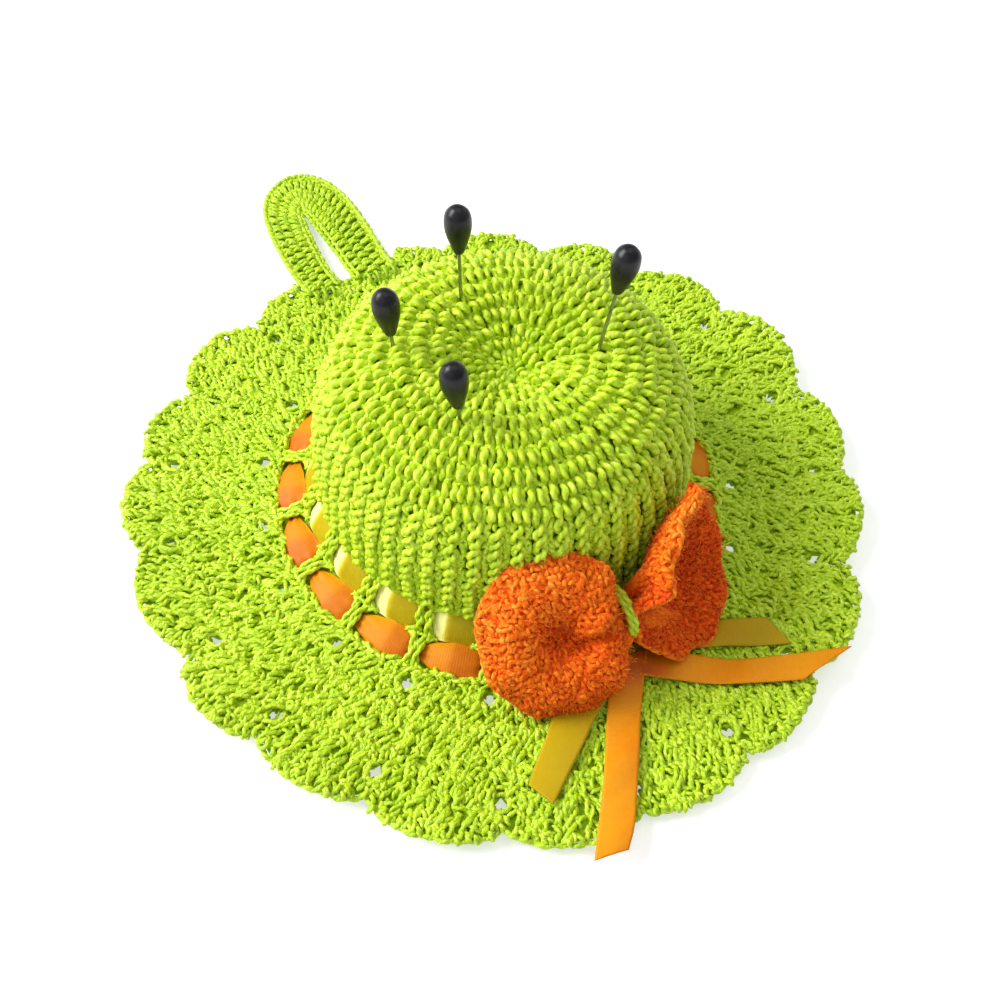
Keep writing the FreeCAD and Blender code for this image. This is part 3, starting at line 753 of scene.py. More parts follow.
def woven_ribbon(name, arc_mid, width, bulge, dip, tent, yellow, material, node):
    """A satin ribbon behind the posts that swells out of every window. Tent
    goes from 0, a round swelling, to 1, a sharp fold."""
    piece = Piece()
    angle = np.linspace(0, TAU, SCALLOPS * 44, endpoint=False)
    turn = (angle - WINDOW_ANGLES[0]) * SCALLOPS / TAU
    place = turn % 1.0
    place = np.where(place > 0.5, place - 1, place) * 2     # -1..1 across one window
    window = np.round(turn).astype(int) % SCALLOPS
    peak = (RNG.random(SCALLOPS) * 0.3 - (0.30 if yellow else 0.10))[window]
    swell = (1 + RNG.normal(0, 0.10, SCALLOPS))[window]
    tilt = RNG.normal(0, 0.35, SCALLOPS)[window]
    inside = 1 - ease(np.abs(place), 0.60, 0.96)
    fold = np.where(place < peak, (place + 1) / (peak + 1), (1 - place) / (1 - peak))
    shape = (1 - tent) * np.clip(1 - place ** 2, 0, 1) ** 0.6 + tent * np.clip(fold, 0, 1)
    if yellow:
        width = width * (0.55 + 0.45 * inside)
    else:
        width = width * np.interp(place + 0.10 * tilt, *ORANGE_WIDTH)
    across = row(-1, 1, 15)
    arc = arc_mid + across * 0.5 * width[:, None] + (tilt * inside * place)[:, None] * 0.6
    roll = (1 - np.abs(across) ** 2.4) * (0.35 if yellow else 0.45) * inside[:, None]
    lift = (dip + bulge * swell * shape)[:, None] + roll - 0.12
    lift = lift + 0.12 * np.sin(across * 5 + 3 * place[:, None]) * (1 - inside[:, None])
    if yellow:
        # painted light: pale on the side of the fold before its peak, darker olive after it, and
        # a painted shadow beside the post at the start of each window
        side = -np.clip((place - peak) * 7, -1, 1) - 1.3 * ease(-place, 0.66, 0.86)
        tone = (0.42 + 0.42 * side)[:, None]
    else:
        # small gathers running in from the ends
        lift = lift + 0.12 * np.cos(across * 7.0 + window[:, None] * 1.7) \
            * ease(np.abs(place), 0.25, 0.8)[:, None]
        # painted light and shade: lighter before the peak of the swell, darker after it, darker
        # at the ends tucked under the posts and towards one edge
        tone = (0.52 - 0.46 * ease(place, peak - 0.25, peak + 0.25)
                - 0.40 * ease(np.abs(place), 0.62, 0.9))[:, None] - 0.14 * across
    front, outward = crown(arc, np.broadcast_to(angle[:, None], arc.shape), lift=lift)
    back = front - outward * 0.16
    selvage = (np.abs(across) > 0.9).astype(float)
    along = angle[:, None] * 33.0
    grid(piece, front, selvage, tone, along, wrap_u=True, flip=True)
    grid(piece, back, selvage, tone, along, wrap_u=True)
    # selvages join the two faces
    for j in (0, -1):
        grid(piece, np.stack([front[:, j], back[:, j]], 1), 1.0, wrap_u=True, flip=(j == 0))
    finish(piece, name, material, nodes=(node,))


# --------------------------------------------------------------------- brim
NOTCH_ANGLES = np.radians([entry[0] for entry in SCALLOP_TABLE])
NOTCH_RADII = np.array([entry[1] for entry in SCALLOP_TABLE])
TIP_RADII = np.array([entry[2] for entry in SCALLOP_TABLE])
# (inner radius, outer radius, stitches per scallop, spread of the inner ends,
# bulge of the inner ends, bulge of the outer ends); None follows the outline
BRIM_ROUNDS = [(39.6, 46.8, 11, 0.96, 0.0, 0.6),
               (46.4, 55.0, 13, 0.90, 0.6, 1.3),
               (54.4, None, 14, 0.84, 1.3, None)]
BRIM_PARTS = 10


def brim_z(x, y):
    """Top of the brim: flat on the table, lifted a little at one side, with
    a soft ripple from scallop to scallop."""
    radius = np.hypot(x, y)
    angle = np.arctan2(y, x)
    edge = ease(radius, 46, 67)
    lift = 2.6 * np.clip(np.cos(angle + 0.45), 0, 1) ** 2 \
        + 0.9 * np.clip(np.cos(angle + 2.9), 0, 1) ** 4
    ripple = 0.40 * np.cos(SCALLOPS * (angle - math.radians(1.0))) \
        + 0.35 * np.sin(5 * angle + 1.0) + 0.30 * np.sin(8 * angle)
    at_loop = np.clip(np.cos(angle - math.radians(LOOP_DEGREES)), 0, 1) ** 12
    at_bow = np.clip(np.cos(angle + math.radians(100)), 0, 1) ** 6
    z = BRIM_Z + edge * ((lift + ripple + 0.5) * (1 - at_loop) * (1 - 0.6 * at_bow))
    return z + 0.65 * (1 - ease(radius, 39.5, 46))


def crest(part, power):
    """0 at both notches of a scallop, 1 at its middle."""
    return np.clip(1 - (2 * part - 1) ** 2, 0, 1) ** power


def fan(i, part):
    """Angle and outline radius at a part 0..1 of scallop i."""
    following = (i + 1) % SCALLOPS
    start, end = NOTCH_ANGLES[i], NOTCH_ANGLES[following]
    if end < start:
        end = end + TAU
    first, last = NOTCH_RADII[i], NOTCH_RADII[following]
    angle = start + (end - start) * part
    radius = first + (last - first) * part \
        + (TIP_RADII[i] - 0.5 * (first + last)) * crest(part, 0.55)
    # straight where the hanging loop is worked on
    off_loop = np.angle(np.exp(1j * (angle - math.radians(LOOP_DEGREES))))
    limit = 60.1 / np.cos(np.clip(off_loop, -0.5, 0.5)) \
        + 20 * ease(np.abs(off_loop), 0.165, 0.20)
    return angle, np.minimum(radius, limit)


def lace_holes():
    """Openings of the lace: (x, y, radius)."""
    holes = [(42.2, angle + 0.02, 1.05) for angle in POST_ANGLES]
    holes += [(radius - 3.4, math.radians(degrees), 1.10)
              for degrees, radius, _ in SCALLOP_TABLE if abs(degrees - LOOP_DEGREES) > 12]
    for _ in range(26):
        angle = RNG.random() * TAU
        holes.append((44 + 14 * RNG.random(), angle, 0.28))
    return [(radius * math.cos(angle), radius * math.sin(angle), size)
            for radius, angle, size in holes]


HOLES = lace_holes()


def open_holes(x, y):
    """Pushes strands aside around each small opening of the lace."""
    for hole_x, hole_y, size in HOLES:
        off_x, off_y = x - hole_x, y - hole_y
        gap = np.sqrt(off_x * off_x + off_y * off_y) + 1e-6
        pushed = np.sqrt(gap * gap + (size * (1 - gap / (4 * size))) ** 2 * 2.0)
        scale = np.where(gap < 4 * size, pushed / gap, 1.0)
        x, y = hole_x + off_x * scale, hole_y + off_y * scale
    return x, y


def brim_strands(piece, radius, angle, lift, width, height, **yarn):
    x, y = open_holes(radius * np.cos(angle), radius * np.sin(angle))
    sweep(piece, np.stack([x, y, brim_z(x, y) + lift], -1), Z_UP, width, height, **yarn)


def fan_stitches(piece, i, inner, outer, count, spread, inner_bulge, outer_bulge):
    """Long stitches of one round in scallop i, each two strands wound together."""
    part_out = (np.arange(count) + 0.5) / count + RNG.normal(0, 0.018, count)
    part_in = 0.5 + (part_out - 0.5) * spread + RNG.normal(0, 0.022, count)
    angle_in, _ = fan(i, part_in)
    angle_out, rim = fan(i, part_out)
    scale = 0.5 + 0.5 * (rim / 64.0)
    start = inner * scale + inner_bulge * (crest(part_in, 0.6) - 0.5)
    if outer:
        end = outer * scale + outer_bulge * (crest(part_out, 0.6) - 0.5)
    else:
        end = rim - 0.75
    start, end, angle_in, angle_out = (
        values[:, None] for values in (start, end, angle_in, angle_out))
    run = row(0, 1, 27)
    swerve = jitter(0.020, count)
    wiggle = jitter(0.45, count)
    phase = random_phase(count)
    sink = jitter(0.12, count)
    taper = tapered(run, 0.60, 0.05, 0.5)
    for hand in (-1, 1):
        radius = start - 0.5 + (end - start + 0.8) * run
        turns = 2.3 + jitter(0.3, count)
        turn = TAU * run * turns + random_phase(count) * 0.35
        side = hand * 0.58 * np.cos(turn) + wiggle * np.sin(TAU * 1.3 * run + phase)
        angle = angle_in + (angle_out - angle_in) * run + swerve * (run - 0.3) + side / radius
        lift = -0.55 + 0.40 * hand * np.sin(turn) + 0.30 * tapered(run, 0, 0, 0.8) + sink \
            + 0.16 * np.sin(TAU * 2.1 * run + phase * 1.7)
        width = 0.52 * taper * (1 + jitter(0.10, count))
        brim_strands(piece, radius, angle, lift, width, 0.46 * taper, twist=2.5, groove=0.34)
    # the V on top of every stitch
    run = row(0, 1, 9)
    taper = tapered(run, 0.55, 0.05, 0.6)
    for hand in (-1, 1):
        radius = end - 0.9 + 1.45 * run + jitter(0.30, count)
        angle = angle_out + (hand * (0.10 + 0.85 * run) + jitter(0.30, count)) / radius
        lift = -0.45 + 0.60 * tapered(run, 0, 0, 0.8) + jitter(0.12, count)
        brim_strands(piece, radius, angle, lift, 0.52 * taper, 0.46 * taper,
                     twist=2.6, groove=0.32)


def loose_legs(piece, i):
    """Slanted legs that fill the spaces of the lace."""
    count = 290
    angle, rim = fan(i, RNG.random(count))
    inner = 40.2
    radius = np.sqrt(inner ** 2 + ((rim - 1.6) ** 2 - inner ** 2) * RNG.random(count))
    tilt = RNG.normal(0, 0.85, count)
    length = 1.5 + 1.3 * RNG.random(count)
    run = row(-0.5, 0.5, 9)
    bend = jitter(0.7, count) * run ** 2
    radius, angle = slanted(radius, angle, tilt, length, run, bend)
    lift = np.minimum(-0.52 + 0.46 * np.cos(PI * run) + jitter(0.15, count), 0.25)
    taper = tapered(run + 0.5, 0.5, 0.04)
    brim_strands(piece, radius, angle, lift, 0.46 * taper, 0.42 * taper,
                 twist=2.6, sides=7, groove=0.32)


def brim_edging(piece, i):
    """Small rounded loops along the edge of scallop i."""
    count = 9
    run = row(-1, 1, 13)
    part = (column(count) + 0.5) / count + run * 0.58 / count
    angle, radius = fan(i, np.clip(part, 0.0, 1.0))
    bulge = np.sqrt(np.clip(1 - (run * 0.98) ** 2, 0, 1))
    radius = radius - 1.0 + (0.80 + jitter(0.16, count)) * bulge
    lift = -0.60 - 0.35 * run ** 2 + jitter(0.16, count)
    width = 0.55 * (0.7 + 0.3 * bulge)
    brim_strands(piece, radius, angle, lift, width, width * 0.95, twist=2.4, groove=0.28)


def brim():
    pieces = [Piece() for _ in range(BRIM_PARTS)]
    for i in range(SCALLOPS):
        piece = pieces[i * BRIM_PARTS // SCALLOPS]
        for brim_round in BRIM_ROUNDS:
            fan_stitches(piece, i, *brim_round)
        loose_legs(piece, i)
        brim_edging(piece, i)
    for j, piece in enumerate(pieces, 1):
        # in the darker copy of the green cotton: painted shade on the brim
        finish(piece, "brim_fans_%d" % j, GREEN_BRIM,
               nodes=("brim",) if j == 1 else ())


def brim_backing():
    """The lower layer of the lace: a thin rumpled sheet with the openings cut
    out and a ribbed underside, in the darker shadow copy of the green yarn
    that paints the shade under the stitches."""
    piece = Piece()
    per_fan, rings, inner = 26, 46, 39.2
    outline = np.vstack([np.stack(fan(i, np.arange(per_fan) / per_fan), -1)
                         for i in range(SCALLOPS)])
    part = row(0, 1, rings)
    radius = inner + (outline[:, 1:] - 1.0 - inner) * part
    angle = np.broadcast_to(outline[:, :1], radius.shape)
    x, y = radius * np.cos(angle), radius * np.sin(angle)
    ribs = 0.16 * np.sin(angle * SCALLOPS * 11) + 0.14 * np.sin(radius * 2.6)
    edge = ease(part, 0.93, 1.0)
    top_z = brim_z(x, y) - 0.78 + 0.5 * ribs - 0.55 * edge
    bottom_z = np.maximum(brim_z(x, y) - 1.75 - 0.8 * ribs + 0.25 * edge, 0.02)
    top = np.stack([x, y, top_z], -1).reshape(-1, 3)
    bottom = np.stack([x, y, bottom_z], -1).reshape(-1, 3)
    size = len(top)
    faces = quads(np.pad(np.arange(size).reshape(x.shape), ((0, 1), (0, 0)), mode="wrap"))
    faces = faces[:, [0, 3, 2, 1]]
    middle = top[faces].mean(1)
    hole_x, hole_y, hole_size = np.array(HOLES).T
    gap = np.hypot(middle[:, 0, None] - hole_x, middle[:, 1, None] - hole_y)
    faces = faces[(gap > hole_size * 1.15).all(1)]
    # walls on every open edge of the sheet
    edges = np.concatenate([faces[:, [k, (k + 1) % 4]] for k in range(4)])
    key = edges[:, 0] * size * 2 + edges[:, 1]
    reverse = edges[:, 1] * size * 2 + edges[:, 0]
    first, second = edges[~np.isin(reverse, key)].T
    walls = np.stack([first, second, second + size, first + size], -1)
    faces = np.concatenate([faces[:, ::-1], faces + size, walls])
    used = np.unique(faces)
    renumber = np.zeros(2 * size, int)
    renumber[used] = np.arange(len(used))
    groove = np.clip(np.tile((0.5 + ribs).ravel(), 2)[used], 0, 1)
    piece.add(np.vstack([top, bottom])[used], renumber[faces],
              (groove, np.full(len(used), 0.5), np.tile(radius.ravel(), 2)[used]))
    finish(piece, "brim_lower_layer", GREEN_SHADOW)


# ------------------------------------------------------------ hanging loop
LOOP_OUT = np.array([math.cos(math.radians(LOOP_DEGREES)), math.sin(math.radians(LOOP_DEGREES))])
LOOP_SIDE = np.array([LOOP_OUT[1], -LOOP_OUT[0]])
LOOP_ROOT = 62.0                    # radius where the outward measure is zero
# edges of the loop: (sideways towards +x, outward from the root)
LOOP_OUTER_EDGE = catmull([
    (-9.6, -3.4), (-9.9, 3.0), (-9.7, 10.0), (-9.0, 17.0), (-7.4, 23.0),
    (-3.8, 27.6), (1.4, 29.4), (5.6, 27.0), (8.0, 22.4), (8.9, 17.0),
    (9.0, 10.0), (8.6, 3.0), (8.4, -3.4)], 600)
LOOP_SLIT_EDGE = catmull([
    (-3.3, -3.4), (-3.3, 3.0), (-3.0, 8.0), (-2.6, 12.0), (-2.1, 15.6),
    (-1.6, 18.4), (-1.0, 19.6), (-0.4, 18.4), (-0.1, 15.6), (0.2, 12.0),
    (0.4, 8.0), (0.5, 3.0), (0.4, -3.4)], 600)


def loop_point(around, across):
    """Around is 0..1 round the loop, across is 0 at the slit and 1 at the
    outer edge. Gives the points on the middle height of the crochet."""
    place = np.clip(around, 0, 1) * (len(LOOP_OUTER_EDGE) - 1)
    stations = np.arange(len(LOOP_OUTER_EDGE))
    outer, slit = (np.stack([np.interp(place, stations, edge[:, axis]) for axis in (0, 1)], -1)
                   for edge in (LOOP_OUTER_EDGE, LOOP_SLIT_EDGE))
    flat = slit + (outer - slit) * across[..., None]
    plan = LOOP_OUT * (LOOP_ROOT + flat[..., 1:]) + LOOP_SIDE * flat[..., :1]
    out = plan @ LOOP_OUT - LOOP_ROOT
    z = 2.3 + 0.75 * (1 - ease(out, -3.5, 1.5)) + 0.5 * ease(out, 8, 28)
    return np.concatenate([plan, z[..., None]], -1)


def loop_strands(piece, around, across, lift, width, height, **yarn):
    around, across, lift = np.broadcast_arrays(around, across, lift)
    sweep(piece, loop_point(around, across) + lift[..., None] * Z_UP, Z_UP, width, height,
          **yarn)


def hanging_loop():
    piece = Piece()
    for face in (1, -1):            # upper and lower face
        for level in range(3):
            count = 32
            start = (column(count) + 0.5 + 0.4 * (level % 2)) / (count + 0.4)
            for hand in (-1, 1):
                run = row(0, 1, 9)
                across = (0.10 + 0.27 * level) + 0.33 * run + jitter(0.015, count)
                around = start + hand * (0.0030 + 0.0042 * run) + jitter(0.0012, count)
                lift = -0.35 + 0.62 * np.sin(PI * run) + jitter(0.06, count)
                if face < 0:
                    lift = -1.15 - lift * 0.8
                taper = tapered(run, 0.55, 0.05, 0.6)
                loop_strands(piece, around, across, lift, 0.54 * taper, 0.50 * taper,
                             twist=2.3, groove=0.32, shade=0.55 * RNG.random(count))
    # chain along the outer edge and along the slit
    for middle, count, thick, spread in ((0.985, 46, 0.66, 0.045), (0.03, 30, 0.52, 0.063)):
        for hand in (-1, 1):
            run = row(-1, 1, 11)
            around = (column(count) + 0.5) / count + run * 0.66 / count
            across = middle + hand * spread * (1 - run ** 2)
            lift = -0.30 + 0.35 * (1 - run ** 2) + 0.12 * hand + jitter(0.05, count)
            taper = 0.6 + 0.4 * np.sqrt(np.clip(1 - run ** 2, 0, 1))
            loop_strands(piece, around, across, lift, thick * taper, thick * 0.9 * taper,
                         twist=2.2, groove=0.30, shade=0.6 * RNG.random(count))
    # core layer between the two faces, set dark: painted shade in the gaps between the stitches
    around, across = np.meshgrid(np.linspace(0.0, 1, 220), np.linspace(0.04, 0.97, 9),
                                 indexing="ij")
    top = loop_point(around, across) - 0.42 * Z_UP
    bottom = top - 0.75 * Z_UP
    core_length = 60.0
    grid(piece, np.concatenate([top, bottom[:, ::-1]], 1), 0.05, 0.1,
         around[:, :1] * core_length, wrap_v=True)
    for end in (0, -1):
        grid(piece, np.stack([top[end], bottom[end]], 0), 0.05, 0.1, flip=(end == -1))
    # in the darker copy of the green cotton: painted shade
    obj = piece.build("hanging_loop_crochet", GREEN_BRIM)
    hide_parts("hanging_loop")
    start = LOOP_OUT * (LOOP_ROOT - 2.8) * MM
    end = LOOP_OUT * (LOOP_ROOT + 1.2) * MM
    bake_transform(obj)


# --------------------------------------------------------------------- bow
WRAP_CENTRE = np.array([-0.6, -36.9, 12.0])
LOBE_STITCH_RADIUS = 13.4           # nominal radius for spacing the stitches
# by side of the wrap, -1 towards -x and 1 towards +x; `butt` is where the lobe
# stops against the other one, measured along VIEW_RIGHT
LOBES = {
    -1: dict(centre=np.array([-13.6, -36.3, 14.8]), facing=np.array([-0.38, -0.72, 0.58]),
             radius=14.1, butt=-1.70),
    1: dict(centre=np.array([8.7, -36.3, 15.7]), facing=np.array([0.355, -0.882, 0.31]),
            radius=13.4, butt=1.25)}


def left_lobe_relief(reach, bearing, distance, x, y, ruffle):
    """A swelling round a hollow middle, with one fold running to the wrap."""
    z = -1.5 + 3.5 * ease(reach, 0.02, 0.52) - 2.6 * ease(reach, 0.66, 1.03) + ruffle
    off_fold = distance * np.sin(bearing - 0.42)
    fold = ease(reach, 0.10, 0.32) * (np.cos(bearing - 0.42) > 0)
    z = z + 1.5 * np.exp(-(off_fold / 1.7) ** 2) * fold \
        - 1.9 * np.exp(-((off_fold + 2.9) / 1.3) ** 2) * fold
    return np.where(x < 0, x * 0.91, x), y, z


def right_lobe_relief(reach, bearing, x, y, ruffle, radius):
    """A cup with a pleat and one edge rolled over."""
    z = 5.0 * reach ** 1.8 - 2.6 + ruffle - 1.5 * ease(reach, 0.86, 1.04)
    pleat = np.exp(-(bearing - 0.45) ** 2 / 0.10) * ease(reach, 0.10, 0.45)
    z = z + pleat * 2.4 * (1 - 0.35 * reach)
    z = z - 1.3 * np.exp(-(bearing + 0.20) ** 2 / 0.06) * ease(reach, 0.2, 0.7)
    y = y * 1.10
    x = np.where(x < 0, x * 0.84, x) - 0.20 * y
    # the edge up and towards the wrap rolls over, out along the facing
    toward_edge = (x * 0.62 + y * 0.785) / radius
    roll_radius, roll_start = 1.75, 0.66
    past = (toward_edge - roll_start) * radius
    roll = np.clip(past / roll_radius, 0, 2.6)
    back = np.where(toward_edge > roll_start, past - roll_radius * np.sin(roll), 0.0)
    return x - 0.62 * back, y - 0.785 * back, z + roll_radius * (1 - np.cos(roll))


def lobe_surface(hand, reach, bearing):
    """Cupped, ruffled crochet disc: reach 0..1 from its centre, bearing from
    the wrap side. Locally x points at the wrap, y up and z along the facing."""
    lobe = LOBES[hand]
    radius = lobe["radius"]
    outward = unit(lobe["facing"])
    to_wrap = WRAP_CENTRE + np.array([-0.7, 0.2, 0.1]) - lobe["centre"]
    to_wrap = to_wrap - (to_wrap @ outward) * outward
    wrap_gap = np.linalg.norm(to_wrap)
    to_wrap = to_wrap / wrap_gap
    upward = np.cross(outward, to_wrap)
    if upward[2] < 0:
        upward = -upward
    ninefold = np.cos(9 * bearing + 0.6 * hand)
    ruffle = (0.30 * ninefold + 0.55 * np.cos(3 * bearing + 1.3)
              + 0.35 * np.cos(5 * bearing + 2.2)) * ease(reach, 0.45, 1.0)
    distance = radius * reach * (1 + 0.018 * ninefold * ease(reach, 0.6, 1.0)
                                 + 0.03 * np.cos(2 * bearing + 0.5)
                                 + 0.02 * np.cos(3 * bearing))
    x, y = distance * np.cos(bearing), distance * np.sin(bearing)
    if hand < 0:
        x, y, z = left_lobe_relief(reach, bearing, distance, x, y, ruffle)
    else:
        x, y, z = right_lobe_relief(reach, bearing, x, y, ruffle, radius)
    # drawn back behind the strand of the wrap
    shrink = 1 - max((wrap_gap - 0.9) / (radius * 1.04), 0.86)
    near = ease(x, 0.45 * radius, 1.0 * radius) * np.exp(-((y - 0.6) / 6.2) ** 2)
    x = np.where(x > 0, x * (1 - shrink * ease(x, 0, 0.8 * radius)), x)
    z = z * (1 - 0.75 * near) - 2.3 * near
    if hand > 0:
        # closes like a cupped leaf: both long edges curl out along the facing
        curl = np.abs(y / radius)
        z = z + np.where(y > 0, 2.2, 3.9) * curl ** 2.0
        y = y * (1 - 0.08 * curl)
    points = lobe["centre"] + x[..., None] * to_wrap + y[..., None] * upward \
        + z[..., None] * outward
    # the two lobes butt against each other
    offset = points - (WRAP_CENTRE + np.array([-2.0, -2.4, 2.4]))
    climb = offset @ np.array([0.293, 0.372, 0.880])
    limit = -0.10 - 0.25 * np.clip(climb, -4.5, 6.0) + lobe["butt"]
    room = (offset @ VIEW_RIGHT - limit) * hand
    soft_room = 0.5 * (room + np.sqrt(room * room + 0.7)) - 0.10
    return points + ((soft_room - room) * hand)[..., None] * VIEW_RIGHT


def lobe_normals(hand, reach, bearing):
    step = 1e-3
    points = lobe_surface(hand, reach, bearing)
    by_reach = lobe_surface(hand, reach + step, bearing) - points
    by_bearing = lobe_surface(hand, reach, bearing + step) - points
    return points, unit(np.cross(by_reach, by_bearing))


def lobe_shade(hand, reach, bearing):
    """Painted shade: deeper red in the hollow, in a band across the left lobe and over the whole
    right lobe, which is turned away from the light; painted light: paler towards the lit edges
    of the left lobe and on the rolled upper edge of the right one.
    """
    if hand < 0:
        return -1.1 * np.exp(-(reach / 0.26) ** 2) \
            + 0.35 * ease(reach, 0.5, 1.0) * np.cos(bearing - 2.2) \
            - 0.5 * np.exp(-(bearing + 0.3) ** 2 / 0.1) * ease(reach, 0.3, 0.9)
    lip = ease(np.sin(bearing), 0.45, 0.95) * ease(reach, 0.55, 0.9)
    return -0.75 * np.exp(-(reach / 0.62) ** 2) - 1.25 + 1.6 * lip


def lobe_stitches(hand, strands_on):
    """Small knobbly stitches in rings, leaning every way, and a rim edging."""
    size = LOBE_STITCH_RADIUS
    rings = 16
    for face in (1, -1):
        for i in range(rings):
            ring = (i + 0.55) / rings * 0.99
            count = max(6, int(TAU * size * ring / 0.90))
            start = (np.arange(count) + RNG.random(count) * 0.8) * TAU / count
            length = 0.95 + 0.55 * RNG.random((count, 1))
            lean = jitter(0.9, count)
            run = row(-0.5, 0.5, 7)
            bend = jitter(0.9, count) * (run ** 2 - 0.1)
            out = length * np.cos(lean) * run + np.sin(lean) * bend
            around = length * np.sin(lean) * run + np.cos(lean) * bend
            reach = np.clip(ring + out / size + jitter(0.012, count), 0.01, 1.015)
            bearing = start[:, None] + around / np.maximum(size * ring, 1.2)
            lift = 0.12 + 0.26 * np.cos(PI * run) + jitter(0.11, count)
            if face < 0:
                lift = -0.9 - lift * 0.8
            taper = tapered(run + 0.5, 0.55)
            width = 0.55 * taper * (1 + jitter(0.14, count))
            # random tone plus the painted shade and painted light of the lobe
            shade = RNG.random(count) * 1.1 \
                + lobe_shade(hand, ring, np.angle(np.exp(1j * start)))
            strands_on(reach, bearing, lift, width, 0.50 * taper,
                       twist=2.3, sides=6, groove=0.24, shade=shade)
    count = 52
    run = row(-1, 1, 11)
    bearing = (column(count) + 0.5) * TAU / count + run * 0.62 * TAU / count
    reach = 0.985 + 0.026 * np.sqrt(np.clip(1 - run ** 2, 0, 1))
    strands_on(reach, bearing, -0.25 + jitter(0.15, count), 0.54, 0.54, twist=2.2)


def lobe_fuzz(surface):
    """Short loose fibres on both faces."""
    piece = Piece()
    count = 2800
    reach = np.sqrt(RNG.random(count))
    points, outward = surface(reach, RNG.random(count) * TAU)
    face = np.where(RNG.random(count) < 0.75, 1.0, -1.0)[:, None]
    base = points + outward * np.where(face > 0, 0.3, -1.1)
    direction = unit(outward * face * (0.5 + RNG.random((count, 1)))
                     + RNG.normal(0, 0.8, (count, 3)))
    curl = RNG.normal(0, 0.45, (count, 3))
    run = row(0, 1, 5)[..., None]
    length = (0.6 + 0.7 * RNG.random((count, 1)))[:, :, None]
    centre = base[:, None] + direction[:, None] * run * length + curl[:, None] * run ** 2
    sweep(piece, centre, outward[:, None] + 0.01, 0.055, 0.055, twist=0.0, sides=3,
          groove=0.0, plies=1, shade=0.6 + 0.4 * RNG.random(count))
    return piece


def lobe_lining(surface, flip):
    """Inner layer that closes the gaps, in the darker shadow copy of the orange wool: painted
    shade between the stitches.
    """
    piece = Piece()
    reach, bearing = np.meshgrid(np.linspace(0.01, 0.985, 30),
                                 np.linspace(0, TAU, 120, endpoint=False), indexing="ij")
    points, outward = surface(reach, bearing)
    lump = (0.10 * np.sin(reach * 60) * np.sin(bearing * 40))[..., None]
    closed_skin(piece, points + outward * (0.20 + lump), points - outward * (1.0 + lump),
                groove=0.6, flip=flip)
    return piece


def lobe_gathers(hand, surface):
    """Gathered strands from the wrap into the lobe."""
    piece = Piece()
    count = 26
    start = np.arange(count) * TAU / count
    run = row(0, 1, 13)
    centre = WRAP_CENTRE + np.array([hand * 0.15, 0.0, 0.0])
    circle = np.stack([0 * start, np.cos(start), np.sin(start)], -1)
    ring = centre + circle * np.array([0, 2.7, 3.1])
    target, outward = surface(np.full(count, 0.70),
                              0.45 * np.angle(np.exp(1j * (start + PI / 2))))
    middle = 0.5 * (ring + target) + 0.6 * circle
    path = ((1 - run) ** 2)[..., None] * ring[:, None] \
        + (2 * run * (1 - run))[..., None] * middle[:, None] \
        + (run ** 2)[..., None] * (target - outward * 0.6)[:, None]
    taper = 0.6 + 0.4 * np.sin(PI * (0.1 + 0.85 * run))
    sweep(piece, path, unit(path - centre), 0.72 * taper, 0.66 * taper, twist=2.2,
          shade=-0.2 + 0.4 * RNG.random(count))
    return piece


def bow_lobe(hand, name, node):
    _, test = lobe_normals(hand, np.array([0.5]), np.array([2.0]))
    sign = 1.0 if test[0] @ LOBES[hand]["facing"] > 0 else -1.0
    piece = Piece()

    def surface(reach, bearing):
        points, normal = lobe_normals(hand, reach, bearing)
        return points, normal * sign

    def strands_on(reach, bearing, lift, width, height, **yarn):
        reach, bearing, lift = np.broadcast_arrays(reach, bearing, lift)
        points, outward = surface(reach, bearing)
        sweep(piece, points + outward * lift[..., None], outward, width, height, **yarn)

    lobe_stitches(hand, strands_on)
    finish(piece, name, ORANGE, nodes=(node,))
    finish(lobe_fuzz(surface), name + "_fuzz", ORANGE)
    finish(lobe_lining(surface, sign > 0), name + "_inner", ORANGE_SHADOW)
    finish(lobe_gathers(hand, surface), name + "_gathers", ORANGE)


def bow_wrap():
    """Three turns of green yarn round the middle of the bow."""
    piece = Piece()
    angle = np.linspace(0, TAU, 110, endpoint=False)[None]
    centre = WRAP_CENTRE + np.array([-2.0, 0.3, 0.7])
    # (x offset, half thickness, phase of the waver, ring radius)
    for offset, thick, phase, radius in ((-0.50, 0.62, 0.0, 4.30), (0.50, 0.62, 1.0, 4.35),
                                         (-0.05, 0.45, 2.0, 4.20)):
        path = centre + np.stack([offset + 0.16 * np.sin(angle + phase),
                                  radius * np.cos(angle), (radius + 0.45) * np.sin(angle)], -1)
        sweep(piece, path, unit(path - centre), thick, thick * 0.9, twist=1.7, sides=10,
              groove=0.28, closed=True)
    finish(piece, "bow_wrap_yarn", GREEN, nodes=("bow_wrap",))


# ------------------------------------------------------------- ribbon tails
def even_points(points, count):
    """Evenly spaced points along a curve, and their arc lengths."""
    curve = catmull(points, 300)
    arcs = np.r_[0, np.cumsum(np.hypot(*np.diff(curve, axis=0).T))]
    places = np.linspace(0, arcs[-1], count)
    return np.stack([np.interp(places, arcs, curve[:, axis]) for axis in (0, 1)], -1), places


